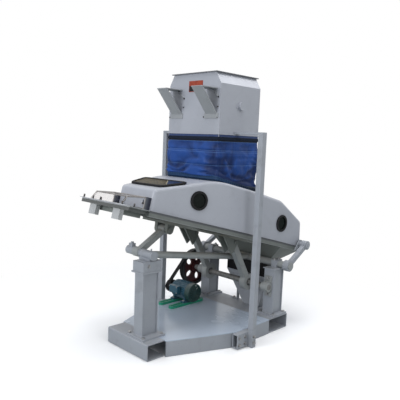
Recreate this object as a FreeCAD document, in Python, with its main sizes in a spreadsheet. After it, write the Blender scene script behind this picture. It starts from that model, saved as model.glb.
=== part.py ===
import FreeCAD, Part
import math
import os
import re

import Sketcher

# Suction type gravity destoner for rice.
# X runs from the high stone end to the low rice end, Y to the rear, Z up, millimetres.
# The origin is on the floor, at the middle of the base.

os.makedirs("parts", exist_ok=True)
doc = FreeCAD.newDocument("destoner")
sheet = doc.addObject("Spreadsheet::Sheet", "Dims")

V = FreeCAD.Vector

# Driving sizes, one cell each. A size that follows another is written as a formula.
sizes = {
    # base tray
    "base_stone_x": -624, "base_rice_x": 624, "base_stone_half": 215,
    "base_over": 45, "base_rice_half": "=hood_half + base_over",
    "base_high": 110, "base_plate": 6, "stone_channel_deep": 146, "rice_channel_deep": 235,
    "apron_stone_half": 234, "apron_bend_x": 0, "rice_channel_inset": 4, "channel_round": 9,
    # plates under the columns and their bolts
    "foot_plate": 12, "foot_bolt_across": 19, "foot_bolt_high": 10, "foot_bolt_inset": 18,
    # stone end column, its height cap and the fixed pivot
    "column_x": -515, "column_y": -61, "column_long": 133, "column_wide": 88, "column_wall": 5,
    "column_edge": 9, "column_inset": 9,
    "column_top": 604, "column_foot_long": 190, "column_foot_wide": 188,
    "saddle_low": 548, "saddle_high": 626, "saddle_wall": 11, "saddle_lip": 7, "saddle_gap": 0.4,
    "saddle_lip_high": 10,
    "lug_half": 15, "lug_from": 14, "lug_long": 38, "lug_high": 28, "lug_sink": 8,
    "pivot_high": 665, "housing_radius": 29, "housing_block": 21, "housing_step": 8,
    "housing_front_y": -115, "housing_rear_y": 5, "housing_ring_over": 3, "housing_ring_long": 8,
    "housing_plate_thick": 5,
    "nipple_at": 18, "nipple_radius": 5, "nipple_long": 16,
    "pivot_pin_radius": 20, "pivot_pin_front_y": -131, "pivot_pin_rear_y": 150, "pivot_head": 31,
    # rice end columns and the cross tube on them
    "rice_column_x": 534, "rice_column_inset": 85,
    "rice_column_y": "=base_rice_half - rice_column_inset",
    "rice_column_long": 122, "rice_column_wide": 93,
    "rice_column_top": 478, "rice_cap_plate": 8, "rice_cap_lip": 8, "rice_foot_long": 168,
    "rice_foot_wide": 156, "tube_x": 560, "tube_high": 505, "tube_radius": 27, "tube_wall": 5,
    "tube_over": 43,
    "tube_half": "=hood_half + tube_over", "tube_disc": 8, "clamp_long": 76, "clamp_wide": 50,
    "clamp_rise": 31, "tie_radius": 24, "tie_wall": 4, "cope_half": 60,
    # swing arms, alike in length and slope
    "arm_long": 262.4, "arm_rise": 31, "arm_tube": 40, "arm_hub": 33, "arm_tube_rice": 34,
    "arm_hub_rice": 42, "arm_eye_rice": 35, "bush_wall": 6, "run_gap": 0.08, "face_gap": 0.3,
    "stone_arm_y": 40, "stone_arm_wide": 64, "rice_arm_gap": 1, "rice_arm_wide": 44,
    "rice_arm_near": "=tube_half + rice_arm_gap", "rice_arm_far": "=rice_arm_near + rice_arm_wide",
    "eye_pin_radius": 15, "washer_thick": 5, "washer_over": 10,
    # ears that carry the upper pivots and the rods
    "stone_ear_foot": 36, "stone_ear_top": 30, "stone_ear_thick": 30, "stone_ear_gap": 6,
    "upper_head_over": 7, "upper_head_long": 9.5,
    "rice_ear_thick": 10, "rice_ear_back": 60, "rice_ear_fore": 38, "rice_ear_knee": 12,
    "rice_ear_nose": 14, "rice_ear_heel": 22, "rice_ear_over": 34, "rice_boss_over": 9,
    "rod_ear_back": 140, "rod_ear_fore": 24, "rod_ear_knee": 16, "rod_ear_tip": 6,
    "rod_ear_tip_drop": 70, "rod_ear_heel": 14, "rod_ear_heel_drop": 92, "rod_pin_over": 8,
    # sieve body frame: its slope and the height of its rim over the origin
    "deck_tilt": 14.5, "deck_high": 822,
    # hood over the sieve
    "hood_stone_u": -620, "hood_stone_half": 175, "hood_bend_u": 120, "hood_half": 380,
    "hood_rice_u": 845, "hood_end_high": 140, "hood_ridge_u": -188, "hood_roof": 308,
    "hood_drop_u": 470, "hood_rice_top_u": 785, "hood_rice_top": 200, "hood_wall": 3,
    "ridge_round": 560, "drop_round": 200, "end_round": 45, "bend_round": 560,
    "corner_round": 26, "roof_round": 24,
    # rim channel, deck and the members under it
    "rim_deep": 38, "rim_out": 12, "rim_in": 28, "deck_thick": 5, "deck_end_u": 700,
    "member_deep": 18, "member_wide": 60, "rod_member_u": 204,
    # window on the roof, measured along the roof's slope from its stone end edge
    "window_from": 62, "window_to": 250, "window_half_low": 164, "window_half_high": 226,
    "window_rim": 12, "window_rim_high": 9, "window_lap": 5, "glass_thick": 4,
    "window_round": 45,
    # round side ports
    "port_radius": 65, "port_bore": 50, "port_thick": 9, "port_w": 140, "port_taper_u": -300,
    "port_rice_u": 516, "pane_thick": 4,
    # collar for the cloth
    "collar_from_u": -156, "collar_to_u": 268, "collar_half": 256, "collar_high": 26,
    "collar_wall": 3, "collar_sink": 12,
    # stone tray beyond the hood, its gate, cover and spouts
    "tray_tip_u": -845, "tray_half": 164, "tray_deep": 30, "tray_plate": 4, "tray_flange": 26,
    "end_bar_half": 252, "end_bar_out": 25, "cheek_long": 48, "cheek_high": 80, "cheek_thick": 6,
    "gate_half": 152, "gate_low": 8, "gate_high": 72, "gate_thick": 5, "gate_travel": 20,
    "cover_high": 78, "cover_low": 56, "cover_knee": 34, "cover_wall": 4,
    "spout_wide": 70, "spout_long": 30, "spout_deep": 66, "spout_wall": 3,
    "box_from_u": -792, "box_to_u": -640, "box_half": 118, "box_deep": 30,
    "collect_wall": 3, "tray_bolt_radius": 5, "tray_bolt_up": 30, "tray_bolt_out": 12,
    "tray_bolt_in": 90, "gate_slot_at": 96, "gate_slot_wide": 10, "gate_slot_drop": 34,
    "gate_slot_high": 26,
    # rice discharge under the body, black sleeve and chute
    "funnel_from_u": 590, "funnel_to_u": 836, "funnel_side": 14,
    "funnel_half": "=hood_half - funnel_side", "mouth_x0": 610,
    "mouth_x1": 740, "mouth_half": 215, "mouth_high": 478, "funnel_wall": 3,
    "sleeve_inset": 2, "sleeve_gap": 4.5, "sleeve_wall": 3, "chute_top": 350, "chute_over": 0,
    "chute_x0": 550, "chute_x1": 604, "chute_y0": -190, "chute_y1": -40, "chute_low": 104,
    "chute_wall": 3, "chute_hole": 7, "leg_x": 578, "leg_y": 58, "leg_wide": 30, "leg_thick": 6,
    "leg_foot": 60,
    # eccentric drive
    "shaft_x": 436, "shaft_high": 338, "shaft_radius": 22, "shaft_front_over": 32,
    "shaft_front_y": "=-(rice_column_y + shaft_front_over)", "shaft_rear_over": 7,
    "shaft_rear_y": "=pulley_y + pulley_wide + shaft_rear_over", "throw": 3.5,
    "sheave_radius": 40, "sheave_wide": 30, "rod_long": 400, "rod_tube": 48, "rod_side": 74,
    "rod_rear_y": "=rice_column_y - rod_side", "rod_front_y": -150, "rod_eye": 28,
    "drum_radius": 65, "drum_bore": 50, "drum_wide": 50, "drum_wall": 6, "drum_hole": 30,
    "ear_thick": 10, "ear_gap": 3, "bearing_radius": 48, "bearing_wide": 60,
    "bearing_base": 9, "bearing_base_high": 160, "bearing_neck": 14, "fit_gap": 0.05,
    # big pulley, motor pulley and belts
    "pulley_over": -5, "pulley_y": "=base_rice_half + pulley_over", "pulley_wide": 44,
    "pulley_radius": 156, "pulley_rim": 22, "pulley_web": 12,
    "pulley_hub": 40, "pulley_holes": 5, "hole_long": 62, "hole_wide": 44, "groove_top": 14,
    "groove_low": 8.4, "groove_deep": 12, "groove_side": 4, "small_radius": 52, "small_hub": 24,
    "belt_top": 12.6, "belt_low": 7.6, "belt_proud": 1.2, "belt_gap": 0.5,
    # motor and its slide rails
    "motor_x": 175, "motor_axis": 82, "rail_high": 20, "rail_wide": 48, "rail_x0": -36,
    "rail_x1": 330, "rail_in": 20, "rail_span": 122, "trough_inset": 14, "trough_wide": 14,
    "trough_floor": 6,
    "rail_front_y": "=motor_front_y + rail_in", "rail_rear_y": "=rail_front_y + rail_span",
    "motor_radius": 67, "motor_end_gap": 31, "motor_nose_long": 28, "motor_long": 150,
    "motor_end_y": "=pulley_y - motor_end_gap", "motor_rear_y": "=motor_end_y - motor_nose_long",
    "motor_front_y": "=motor_rear_y - motor_long", "motor_nose": 42,
    "shield_long": 12, "shield_over": 3, "fin_high": 7, "fin_thick": 3, "fin_count": 28,
    "fin_inset": 12, "cowl_long": 46, "cowl_y": "=motor_front_y - cowl_long", "cowl_radius": 75,
    "cowl_wall": 2, "cowl_round": 4, "cowl_slots": 14, "slot_from": 28, "slot_long": 34,
    "slot_wide": 6, "slot_deep": 20, "motor_shaft_radius": 12, "motor_shaft_in": 62,
    "motor_foot_long": 150, "motor_foot_wide": 40, "motor_foot_thick": 14, "motor_leg_long": 104,
    "motor_leg_wide": 24, "motor_leg_short": 30, "terminal_long": 96, "terminal_high": 62,
    "terminal_out": 110, "terminal_back": 20, "terminal_drop": 12, "terminal_round": 5,
    # upper suction box, flanges, brackets and damper
    "box_x0": -81, "box_x1": 348, "box_side": 256, "box_high": 448,
    "box_low": "=box_top - box_high",
    "box_sill_up": 26, "box_sill": "=box_low + box_sill_up",
    "box_sill_thick": 8, "box_sill_out": 8, "box_top": 1900, "box_shoulder_drop": 75,
    "box_shoulder": "=box_top - box_shoulder_drop",
    "box_neck_half": 211, "box_wall": 3, "flange_thick": 6, "flange_out": 14,
    "strip_wide": 102, "strip_thick": 6, "strip_reach": 156, "strip_top_drop": 107,
    "strip_top": "=box_top - strip_top_drop",
    "strip_drop": 176, "strip_foot": 30, "strip_foot_over": 14, "strip_rear_y": 172,
    "strip_front_y": -178, "plate_y0": -85, "plate_y1": 52, "plate_drop": 126,
    "plate_low": "=box_top - plate_drop",
    "plate_high": 76, "plate_thick": 2.5,
    "damper_x": 133.5, "damper_drop": 219, "damper_high": "=box_top - damper_drop",
    "damper_radius": 12, "knob_radius": 29,
    "knob_thick": 20, "flap_reach": 196, "flap_half": 204, "flap_thick": 4,
    "flap_gap": 0.1,
    # cloth sleeve and its strap
    "cloth_out": 6, "cloth_wall": 5, "cloth_clear": 4.6, "strap_thick": 3, "strap_drop": 16,
    "strap_low": "=box_low - strap_drop",
    "strap_high": 36, "roof_from": -1200, "roof_long": 2600, "roof_half": 800, "roof_deep": 200,
    # posts that hold the suction box
    "post_x": 96, "post_stand": 52, "post_y": "=base_rice_half + post_stand",
    "post_front_out": 16, "post_wide": 41, "post_wall": 4, "post_over": 24,
    "post_high": "=box_sill + post_over",
    "bar_high": 15, "bracket_back": 108, "bracket_low": 6, "bracket_high": 100,
    "bracket_wall": 6, "bracket_lap": 4,
}
for row, name in enumerate(sizes, 1):
    sheet.setAlias("A%d" % row, name)
for row, value in enumerate(sizes.values(), 1):
    sheet.set("A%d" % row, str(value))
doc.recompute()


def bound(text):
    """Point the size names in an expression at the sheet's cells."""
    return re.sub(r"[a-z][a-z0-9_]*", lambda m: "Dims." + m.group(0) if m.group(0) in sizes
                  else m.group(0), str(text))


def size(text):
    """Value of an expression in the sheet's sizes."""
    return float(sheet.evalExpression(bound(text)))


def box(name, x, y, z, long, wide, high):
    """Block with its lowest corner at x, y, z."""
    block = doc.addObject("Part::Box", name)
    for prop, text in zip(("Length", "Width", "Height"), (long, wide, high)):
        block.setExpression(prop, bound(text))
    for prop, text in zip("xyz", (x, y, z)):
        block.setExpression("Placement.Base." + prop, bound(text))
    return block


TURNS = {"x": (V(0, 1, 0), 90), "y": (V(1, 0, 0), -90), "z": (V(0, 0, 1), 0)}


def round_bar(name, axis, x, y, z, radius, long):
    """Cylinder that starts at x, y, z and runs along an axis."""
    bar = doc.addObject("Part::Cylinder", name)
    bar.Placement = FreeCAD.Placement(V(0, 0, 0), FreeCAD.Rotation(*TURNS[axis]))
    bar.setExpression("Radius", bound(radius))
    bar.setExpression("Height", bound(long))
    for prop, text in zip("xyz", (x, y, z)):
        bar.setExpression("Placement.Base." + prop, bound(text))
    return bar


PLANES = {
    "xy": (FreeCAD.Rotation(), V(0, 0, 1), "z"),
    "xz": (FreeCAD.Rotation(V(1, 0, 0), 90), V(0, 1, 0), "y"),
    "yz": (FreeCAD.Rotation(V(1, 1, 1), 120), V(1, 0, 0), "x"),
}


def outline(sketch, points):
    """Closed outline with every corner tied to the sheet."""
    spots = [V(size(p[0]), size(p[1]), 0) for p in points]
    count = len(spots)
    sides = [Part.LineSegment(spots[i], spots[(i + 1) % count]) for i in range(count)]
    first = len(sketch.Geometry)
    sketch.addGeometry(sides, False)
    for i in range(count):
        sketch.addConstraint(Sketcher.Constraint("Coincident", first + i, 2,
                                                 first + (i + 1) % count, 1))
    for i, (across, up) in enumerate(points):
        for kind, text, value in (("DistanceX", across, spots[i].x), ("DistanceY", up, spots[i].y)):
            index = sketch.addConstraint(Sketcher.Constraint(kind, first + i, 1, value))
            sketch.setExpression("Constraints[%d]" % index, bound(text))


def slab(name, plane, points, start, thick):
    """Outline in a plane, extruded from start by thick along the plane's axis."""
    turn, along, letter = PLANES[plane]
    sketch = doc.addObject("Sketcher::SketchObject", name + "_outline")
    outline(sketch, points)
    sketch.Placement = FreeCAD.Placement(V(0, 0, 0), turn)
    sketch.setExpression("Placement.Base." + letter, bound(start))
    solid = doc.addObject("Part::Extrusion", name)
    solid.Base = sketch
    solid.DirMode = "Custom"
    solid.Dir = along
    solid.Solid = True
    solid.setExpression("LengthFwd", bound(thick))
    return solid


def cut(name, base, *tools):
    """Base less each tool in turn."""
    for number, tool in enumerate(tools):
        result = doc.addObject("Part::Cut", "%s_%d" % (name, number))
        result.Base = base
        result.Tool = tool
        base = result
    return base


def fuse(name, *pieces):
    """Pieces welded into one."""
    weld = doc.addObject("Part::MultiFuse", name)
    weld.Shapes = list(pieces)
    weld.Refine = True
    return weld


def common(name, *pieces):
    """What the pieces share."""
    both = doc.addObject("Part::MultiCommon", name)
    both.Shapes = list(pieces)
    return both


def rounded(name, base, chosen):
    """Fillet of the edges that chosen gives a radius for."""
    doc.recompute()
    rows = []
    for number, edge in enumerate(base.Shape.Edges, 1):
        radius = chosen(edge)
        if radius:
            rows.append((number, radius, radius))
    fillet = doc.addObject("Part::Fillet", name)
    fillet.Base = base
    fillet.Edges = rows
    return fillet


nodes = []


def node(label, *solids, x=None, y=None, z=None, turn=None, about=V(0, 1, 0)):
    """One sub-part: its solids, its name and its place."""
    part = doc.addObject("Part::Compound", label)
    part.Label = label
    part.Links = list(solids)
    part.Placement = FreeCAD.Placement(V(0, 0, 0), FreeCAD.Rotation(about, 1 if turn else 0))
    for prop, text in zip("xyz", (x, y, z)):
        if text is not None:
            part.setExpression("Placement.Base." + prop, bound(text))
    if turn is not None:
        part.setExpression("Placement.Rotation.Angle", bound(turn))
    nodes.append(part)
    return part


def on_body(label, *solids):
    """Sub-part of the sieve body, drawn along, across and over the sloping deck."""
    return node(label, *solids, z="deck_high", turn="deck_tilt")


def hex_head(name, x, y, z, across, high):
    """Six-sided bolt head standing on a face."""
    head = doc.addObject("Part::Prism", name)
    head.Polygon = 6
    head.setExpression("Circumradius", bound("(%s) / 2 / cos(30)" % across))
    head.setExpression("Height", bound(high))
    for prop, text in zip("xyz", (x, y, z)):
        head.setExpression("Placement.Base." + prop, bound(text))
    return head


# Places that several sub-parts share.
STONE_PIN_X = "column_x + arm_long * cos(arm_rise)"
STONE_PIN_Z = "pivot_high + arm_long * sin(arm_rise)"
RICE_PIN_X = "tube_x + arm_long * cos(arm_rise)"
RICE_PIN_Z = "tube_high + arm_long * sin(arm_rise)"
ROD_PIN_X = "shaft_x - rod_long * sin(arm_rise)"
ROD_PIN_Z = "shaft_high + rod_long * cos(arm_rise)"
MOTOR_Z = "base_high + rail_high + motor_axis"
TAPER = "(hood_half - hood_stone_half) / (hood_bend_u - hood_stone_u)"
ROOF_RISE = "(atan((hood_roof - hood_end_high) / (hood_ridge_u - hood_stone_u)) / 1 deg)"


def along_deck(x, z):
    """Distance along the deck of a point given in the machine's frame."""
    return "((%s) * cos(deck_tilt) - ((%s) - deck_high) * sin(deck_tilt))" % (x, z)


def over_deck(x, z):
    """Height over the rim of a point given in the machine's frame."""
    return "((%s) * sin(deck_tilt) + ((%s) - deck_high) * cos(deck_tilt))" % (x, z)


# Base: two folded end channels, two bent side aprons and a flat deck.

def end_channel(label, end, inward, deep, half):
    t, h = "base_plate", "base_high"
    lip = "%s + (%d) * (%s)" % (end, inward, deep)
    web = "%s + (%d) * %s" % (end, inward, t)
    points = [(end, "0"), (lip, "0"), (lip, t), (web, t), (web, "%s - %s" % (h, t)),
              (lip, "%s - %s" % (h, t)), (lip, h), (end, h)]
    blank = slab(label + "_blank", "xz", points, "-(%s)" % half, "2 * (%s)" % half)
    corner_x = size(end)

    def outer_fold(edge):
        middle = edge.CenterOfMass
        straight = abs(edge.BoundBox.YLength - 2 * size(half)) < 1
        return size("channel_round") if straight and abs(middle.x - corner_x) < 0.5 else 0

    return rounded(label + "_folded", blank, outer_fold)


stone_channel = end_channel("stone_channel", "base_stone_x", 1, "stone_channel_deep",
                            "base_stone_half")
rice_channel = end_channel("rice_channel", "base_rice_x", -1, "rice_channel_deep",
                           "base_rice_half - rice_channel_inset")
rice_hole = box("rice_hole", "chute_x0 - chute_hole", "chute_y0 - chute_hole", "base_high - 10",
                "chute_x1 - chute_x0 + 2 * chute_hole", "chute_y1 - chute_y0 + 12 + chute_hole",
                "20")
node("base_end_channels", stone_channel, cut("rice_channel_open", rice_channel, rice_hole))

APRON_X0 = "base_stone_x + stone_channel_deep"
APRON_X1 = "base_rice_x - rice_channel_deep"
APRON_TURN = "(atan((base_rice_half - apron_stone_half) / (apron_bend_x - (%s))) / 1 deg)" \
    % APRON_X0
aprons = []
for side, place in ((-1, "front"), (1, "rear")):
    inner_start = "%d * (apron_stone_half - base_plate / cos(%s))" % (side, APRON_TURN)
    inner_bend = "apron_bend_x + base_plate * tan((%s) / 2)" % APRON_TURN
    inner_side = "%d * (base_rice_half - base_plate)" % side
    points = [(APRON_X0, "%d * apron_stone_half" % side),
              ("apron_bend_x", "%d * base_rice_half" % side),
              (APRON_X1, "%d * base_rice_half" % side), (APRON_X1, inner_side),
              (inner_bend, inner_side), (APRON_X0, inner_start)]
    aprons.append(slab("apron_" + place, "xy", points, "0", "base_high - base_plate"))
node("base_aprons", *aprons)

deck_points = [(APRON_X0, "-apron_stone_half"), ("apron_bend_x", "-base_rice_half"),
               (APRON_X1, "-base_rice_half"), (APRON_X1, "base_rice_half"),
               ("apron_bend_x", "base_rice_half"), (APRON_X0, "apron_stone_half")]
node("base_deck_plate", slab("deck_plate", "xy", deck_points, "base_high - base_plate",
                             "base_plate"))


# Columns: welded box tubes on bolted foot plates.

bolt_heads = []


def column(label, x, y, long, wide, top, foot_long, foot_wide, cap):
    """Welded box with set back side plates, on a foot plate, with a cap plate if asked for."""
    z0 = "base_high + foot_plate"
    tube = box(label + "_tube", "%s - (%s) / 2" % (x, long), "%s - (%s) / 2" % (y, wide), z0,
               long, wide, "%s - (%s)" % (top, z0))
    hollow = box(label + "_hollow", "%s - (%s) / 2 + column_wall" % (x, long),
                 "%s - (%s) / 2 + column_inset + column_wall" % (y, wide), z0,
                 "%s - 2 * column_wall" % long, "%s - 2 * (column_inset + column_wall)" % wide,
                 "%s - (%s) - column_wall" % (top, z0))
    foot = box(label + "_foot", "%s - (%s) / 2" % (x, foot_long),
               "%s - (%s) / 2" % (y, foot_wide), "base_high", foot_long, foot_wide, "foot_plate")
    insets = [box("%s_inset_%d" % (label, side + 1), "%s - (%s) / 2 + column_edge" % (x, long),
                  "%s + %d * ((%s) / 2) - column_inset" % (y, side, wide), z0,
                  "%s - 2 * column_edge" % long, "2 * column_inset",
                  "%s - (%s) - column_edge" % (top, z0)) for side in (-1, 1)]
    pieces = [cut(label + "_walls", tube, hollow, *insets), foot]
    if cap:
        pieces.append(box(label + "_cap", "%s - (%s) / 2 - rice_cap_lip" % (x, long),
                          "%s - (%s) / 2 - rice_cap_lip" % (y, wide), "%s - rice_cap_plate" % top,
                          "%s + 2 * rice_cap_lip" % long, "%s + 2 * rice_cap_lip" % wide,
                          "rice_cap_plate"))
    for sx in (-1, 1):
        for sy in (-1, 1):
            bolt_heads.append(hex_head(
                "%s_bolt_%d_%d" % (label, sx + 1, sy + 1),
                "%s + %d * ((%s) / 2 - foot_bolt_inset)" % (x, sx, foot_long),
                "%s + %d * ((%s) / 2 - foot_bolt_inset)" % (y, sy, foot_wide),
                z0, "foot_bolt_across", "foot_bolt_high"))
    return fuse(label + "_weld", *pieces)


node("stone_column", column("stone_col", "column_x", "column_y", "column_long", "column_wide",
                            "column_top", "column_foot_long", "column_foot_wide", False))
node("rice_columns", *[column("rice_col_" + place, "rice_column_x", "%d * rice_column_y" % side,
                              "rice_column_long", "rice_column_wide", "rice_column_top",
                              "rice_foot_long", "rice_foot_wide", True)
                       for side, place in ((-1, "front"), (1, "rear"))])
node("column_foot_bolts", *bolt_heads)


# Height cap that slides over the stone column, and the fixed pivot on it.

def over_column(name, out, low, high):
    return box(name, "column_x - column_long / 2 - (%s)" % out,
               "column_y - column_wide / 2 - (%s)" % out, low,
               "column_long + 2 * (%s)" % out, "column_wide + 2 * (%s)" % out, high)


cap_body = over_column("saddle_body", "saddle_wall", "saddle_low", "saddle_high - saddle_low")
cap_lip = over_column("saddle_rim", "saddle_wall + saddle_lip", "saddle_low",
                      "saddle_lip_high")
cap_bore = over_column("saddle_bore", "saddle_gap", "saddle_low - 1",
                       "saddle_high - saddle_low - saddle_wall + 1")
node("stone_column_cap", cut("saddle", fuse("saddle_weld", cap_body, cap_lip), cap_bore))

housing_long = "housing_rear_y - housing_front_y"
housing_foot = box("housing_foot", "column_x - housing_block", "housing_front_y + housing_step",
                   "saddle_high", "2 * housing_block", housing_long + " - housing_step",
                   "pivot_high - saddle_high")
housing_plate = box("housing_plate", "column_x - column_long / 2 + housing_step",
                    "column_y - column_wide / 2 + housing_step", "saddle_high",
                    "column_long - 2 * housing_step", "column_wide - 2 * housing_step",
                    "housing_plate_thick")
housing_rings = [round_bar("housing_ring_%d" % number, "y", "column_x", at, "pivot_high",
                           "housing_radius + housing_ring_over", "housing_ring_long")
                 for number, at in enumerate(("housing_front_y",
                                              "housing_rear_y - housing_ring_long"))]
housing_tube = round_bar("housing_tube", "y", "column_x", "housing_front_y", "pivot_high",
                         "housing_radius", housing_long)
housing_bore = round_bar("housing_bore", "y", "column_x", "housing_front_y - 1", "pivot_high",
                         "pivot_pin_radius + face_gap", housing_long + " + 2")
oil_nipple = round_bar("oil_nipple", "z", "column_x", "housing_front_y + nipple_at",
                       "pivot_high + housing_radius - 2", "nipple_radius", "nipple_long")
node("stone_pivot_housing", cut("housing", fuse("housing_weld", housing_foot, housing_plate,
                                                housing_tube, oil_nipple, *housing_rings),
                                housing_bore))

pin_bar = round_bar("stone_pin_bar", "y", "column_x", "pivot_pin_front_y", "pivot_high",
                    "pivot_pin_radius", "pivot_pin_rear_y - pivot_pin_front_y")
pin_head = round_bar("stone_pin_head", "y", "column_x", "pivot_pin_front_y - 1", "pivot_high",
                     "pivot_head", "housing_front_y - face_gap - pivot_pin_front_y + 1")
node("stone_pivot_pin", fuse("stone_pin_weld", pin_bar, pin_head))

CLAMP_Y0 = "stone_arm_y + stone_arm_wide / 2 + 2"
clamp_ring = round_bar("end_clamp_ring", "y", "column_x", CLAMP_Y0, "pivot_high",
                       "housing_radius", "pivot_pin_rear_y - 4 - (%s)" % CLAMP_Y0)
clamp_lug = box("end_clamp_lug", "column_x - lug_half", CLAMP_Y0 + " + lug_from",
                "pivot_high + housing_radius - lug_sink", "2 * lug_half", "lug_long", "lug_high")
lug_bolt = hex_head("end_clamp_bolt", "column_x", CLAMP_Y0 + " + lug_from + lug_long / 2",
                    "pivot_high + housing_radius - lug_sink + lug_high", "foot_bolt_across",
                    "foot_bolt_high")
clamp_bore = round_bar("end_clamp_bore", "y", "column_x", CLAMP_Y0 + " - 1", "pivot_high",
                       "pivot_pin_radius + run_gap", "pivot_pin_rear_y - (%s) + 2" % CLAMP_Y0)
node("stone_pivot_clamp", cut("end_clamp", fuse("end_clamp_weld", clamp_ring, clamp_lug,
                                                lug_bolt), clamp_bore))


# Cross tube on the rice columns, with a turned journal at each end.

tube_pieces = []
for side in (-1, 1):
    tag = "rear" if side > 0 else "front"
    tube_pieces.append(round_bar("tube_disc_" + tag, "y", "tube_x",
                                 "%d * tube_half - %d * tube_disc" % (side, side > 0),
                                 "tube_high", "tube_radius", "tube_disc"))
    start = "tube_half" if side > 0 else "-(rice_arm_far + washer_thick + 1)"
    tube_pieces.append(round_bar("journal_" + tag, "y", "tube_x", start, "tube_high",
                                 "pivot_pin_radius", "rice_arm_far + washer_thick + 1 - tube_half"))
    start = "rice_arm_far + 1" if side > 0 else "-(rice_arm_far + washer_thick + 1)"
    tube_pieces.append(round_bar("journal_washer_" + tag, "y", "tube_x", start, "tube_high",
                                 "pivot_pin_radius + washer_over", "washer_thick"))
tube_outer = round_bar("tube_outer", "y", "tube_x", "-tube_half", "tube_high", "tube_radius",
                       "2 * tube_half")
tube_inner = round_bar("tube_inner", "y", "tube_x", "-tube_half", "tube_high",
                       "tube_radius - tube_wall", "2 * tube_half")
node("rice_cross_tube", fuse("cross_tube", cut("tube_wall_cut", tube_outer, tube_inner),
                             *tube_pieces))

clamps = []
for side in (-1, 1):
    tag = "rear" if side > 0 else "front"
    block = box("clamp_block_" + tag, "tube_x - clamp_long / 2",
                "%d * rice_column_y - clamp_wide / 2" % side, "rice_column_top", "clamp_long",
                "clamp_wide", "tube_high - rice_column_top + clamp_rise")
    bore = round_bar("clamp_bore_" + tag, "y", "tube_x",
                     "%d * rice_column_y - clamp_wide / 2 - 1" % side, "tube_high",
                     "tube_radius + face_gap", "clamp_wide + 2")
    clamps.append(cut("clamp_" + tag, block, bore))
node("cross_tube_clamps", *clamps)

TIE_RUN = "(tube_x - column_x)"
TIE_FALL = "(pivot_high - tube_high)"
tie_pieces = []
for name, radius in (("tie_outer", "tie_radius"), ("tie_inner", "tie_radius - tie_wall")):
    bar = round_bar(name, "x", "column_x", "column_y", "pivot_high", radius,
                    "sqrt(%s ^ 2 + %s ^ 2)" % (TIE_RUN, TIE_FALL))
    bar.setExpression("Placement.Rotation.Angle",
                      bound("90 deg + atan(%s / %s)" % (TIE_FALL, TIE_RUN)))
    tie_pieces.append(bar)
tie_stone = round_bar("tie_stone_cope", "y", "column_x", "column_y - cope_half", "pivot_high",
                      "housing_radius + face_gap", "2 * cope_half")
tie_rice = round_bar("tie_rice_cope", "y", "tube_x", "column_y - cope_half", "tube_high",
                     "tube_radius + face_gap", "2 * cope_half")
tie_foot = box("tie_foot_cope", "column_x - housing_block - face_gap", "column_y - cope_half",
               "saddle_high", "2 * (housing_block + face_gap)", "2 * cope_half",
               "pivot_high - saddle_high")
node("tie_pipe", cut("tie", tie_pieces[0], tie_pieces[1], tie_stone, tie_foot, tie_rice))


# Swing arms: a tube between two bushed hubs, drawn along X and turned to their slope.

def arm(label, y0, y1, low_hub, high_hub, low_pin, high_pin, tube, x, z, arm_y):
    wide = "(%s) - (%s)" % (y1, y0)
    hubs = []
    bores = []
    bushes = []
    for spot, hub, pin, at in (("low", low_hub, low_pin, "0"),
                               ("high", high_hub, high_pin, "arm_long")):
        hubs.append(round_bar("%s_%s_hub" % (label, spot), "y", at, y0, "0", hub, wide))
        bores.append(round_bar("%s_%s_bore" % (label, spot), "y", at, y0 + " - 1", "0",
                               "%s + bush_wall" % pin, wide + " + 2"))
        sleeve = round_bar("%s_%s_sleeve" % (label, spot), "y", at, y0, "0",
                           "%s + bush_wall - run_gap" % pin, wide)
        eye = round_bar("%s_%s_eye" % (label, spot), "y", at, y0 + " - 1", "0",
                        "%s + run_gap" % pin, wide + " + 2")
        bushes.append(cut("%s_%s_bush" % (label, spot), sleeve, eye))
    bar = box(label + "_bar", "0", "%s - (%s) / 2" % (arm_y, tube), "-(%s) / 2" % tube,
              "arm_long", tube, tube)
    weld = fuse(label + "_weld", bar, *hubs)
    node(label, cut(label + "_cut", weld, *bores), *bushes, x=x, z=z, turn="-arm_rise")


arm("stone_swing_arm", "stone_arm_y - stone_arm_wide / 2", "stone_arm_y + stone_arm_wide / 2",
    "arm_hub", "arm_hub - 2", "pivot_pin_radius", "eye_pin_radius", "arm_tube",
    "column_x", "pivot_high", "stone_arm_y")
for side, place in ((-1, "front"), (1, "rear")):
    ends = ["rice_arm_near", "rice_arm_far"] if side > 0 else ["-rice_arm_far", "-rice_arm_near"]
    arm("rice_swing_arm_" + place, ends[0], ends[1], "arm_hub_rice", "arm_eye_rice",
        "pivot_pin_radius", "eye_pin_radius", "arm_tube_rice", "tube_x", "tube_high",
        "%d * (rice_arm_near + rice_arm_far) / 2" % side)


# Hood: pressed and welded sheet, tapered to the stone end, with rounded folds.

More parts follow.
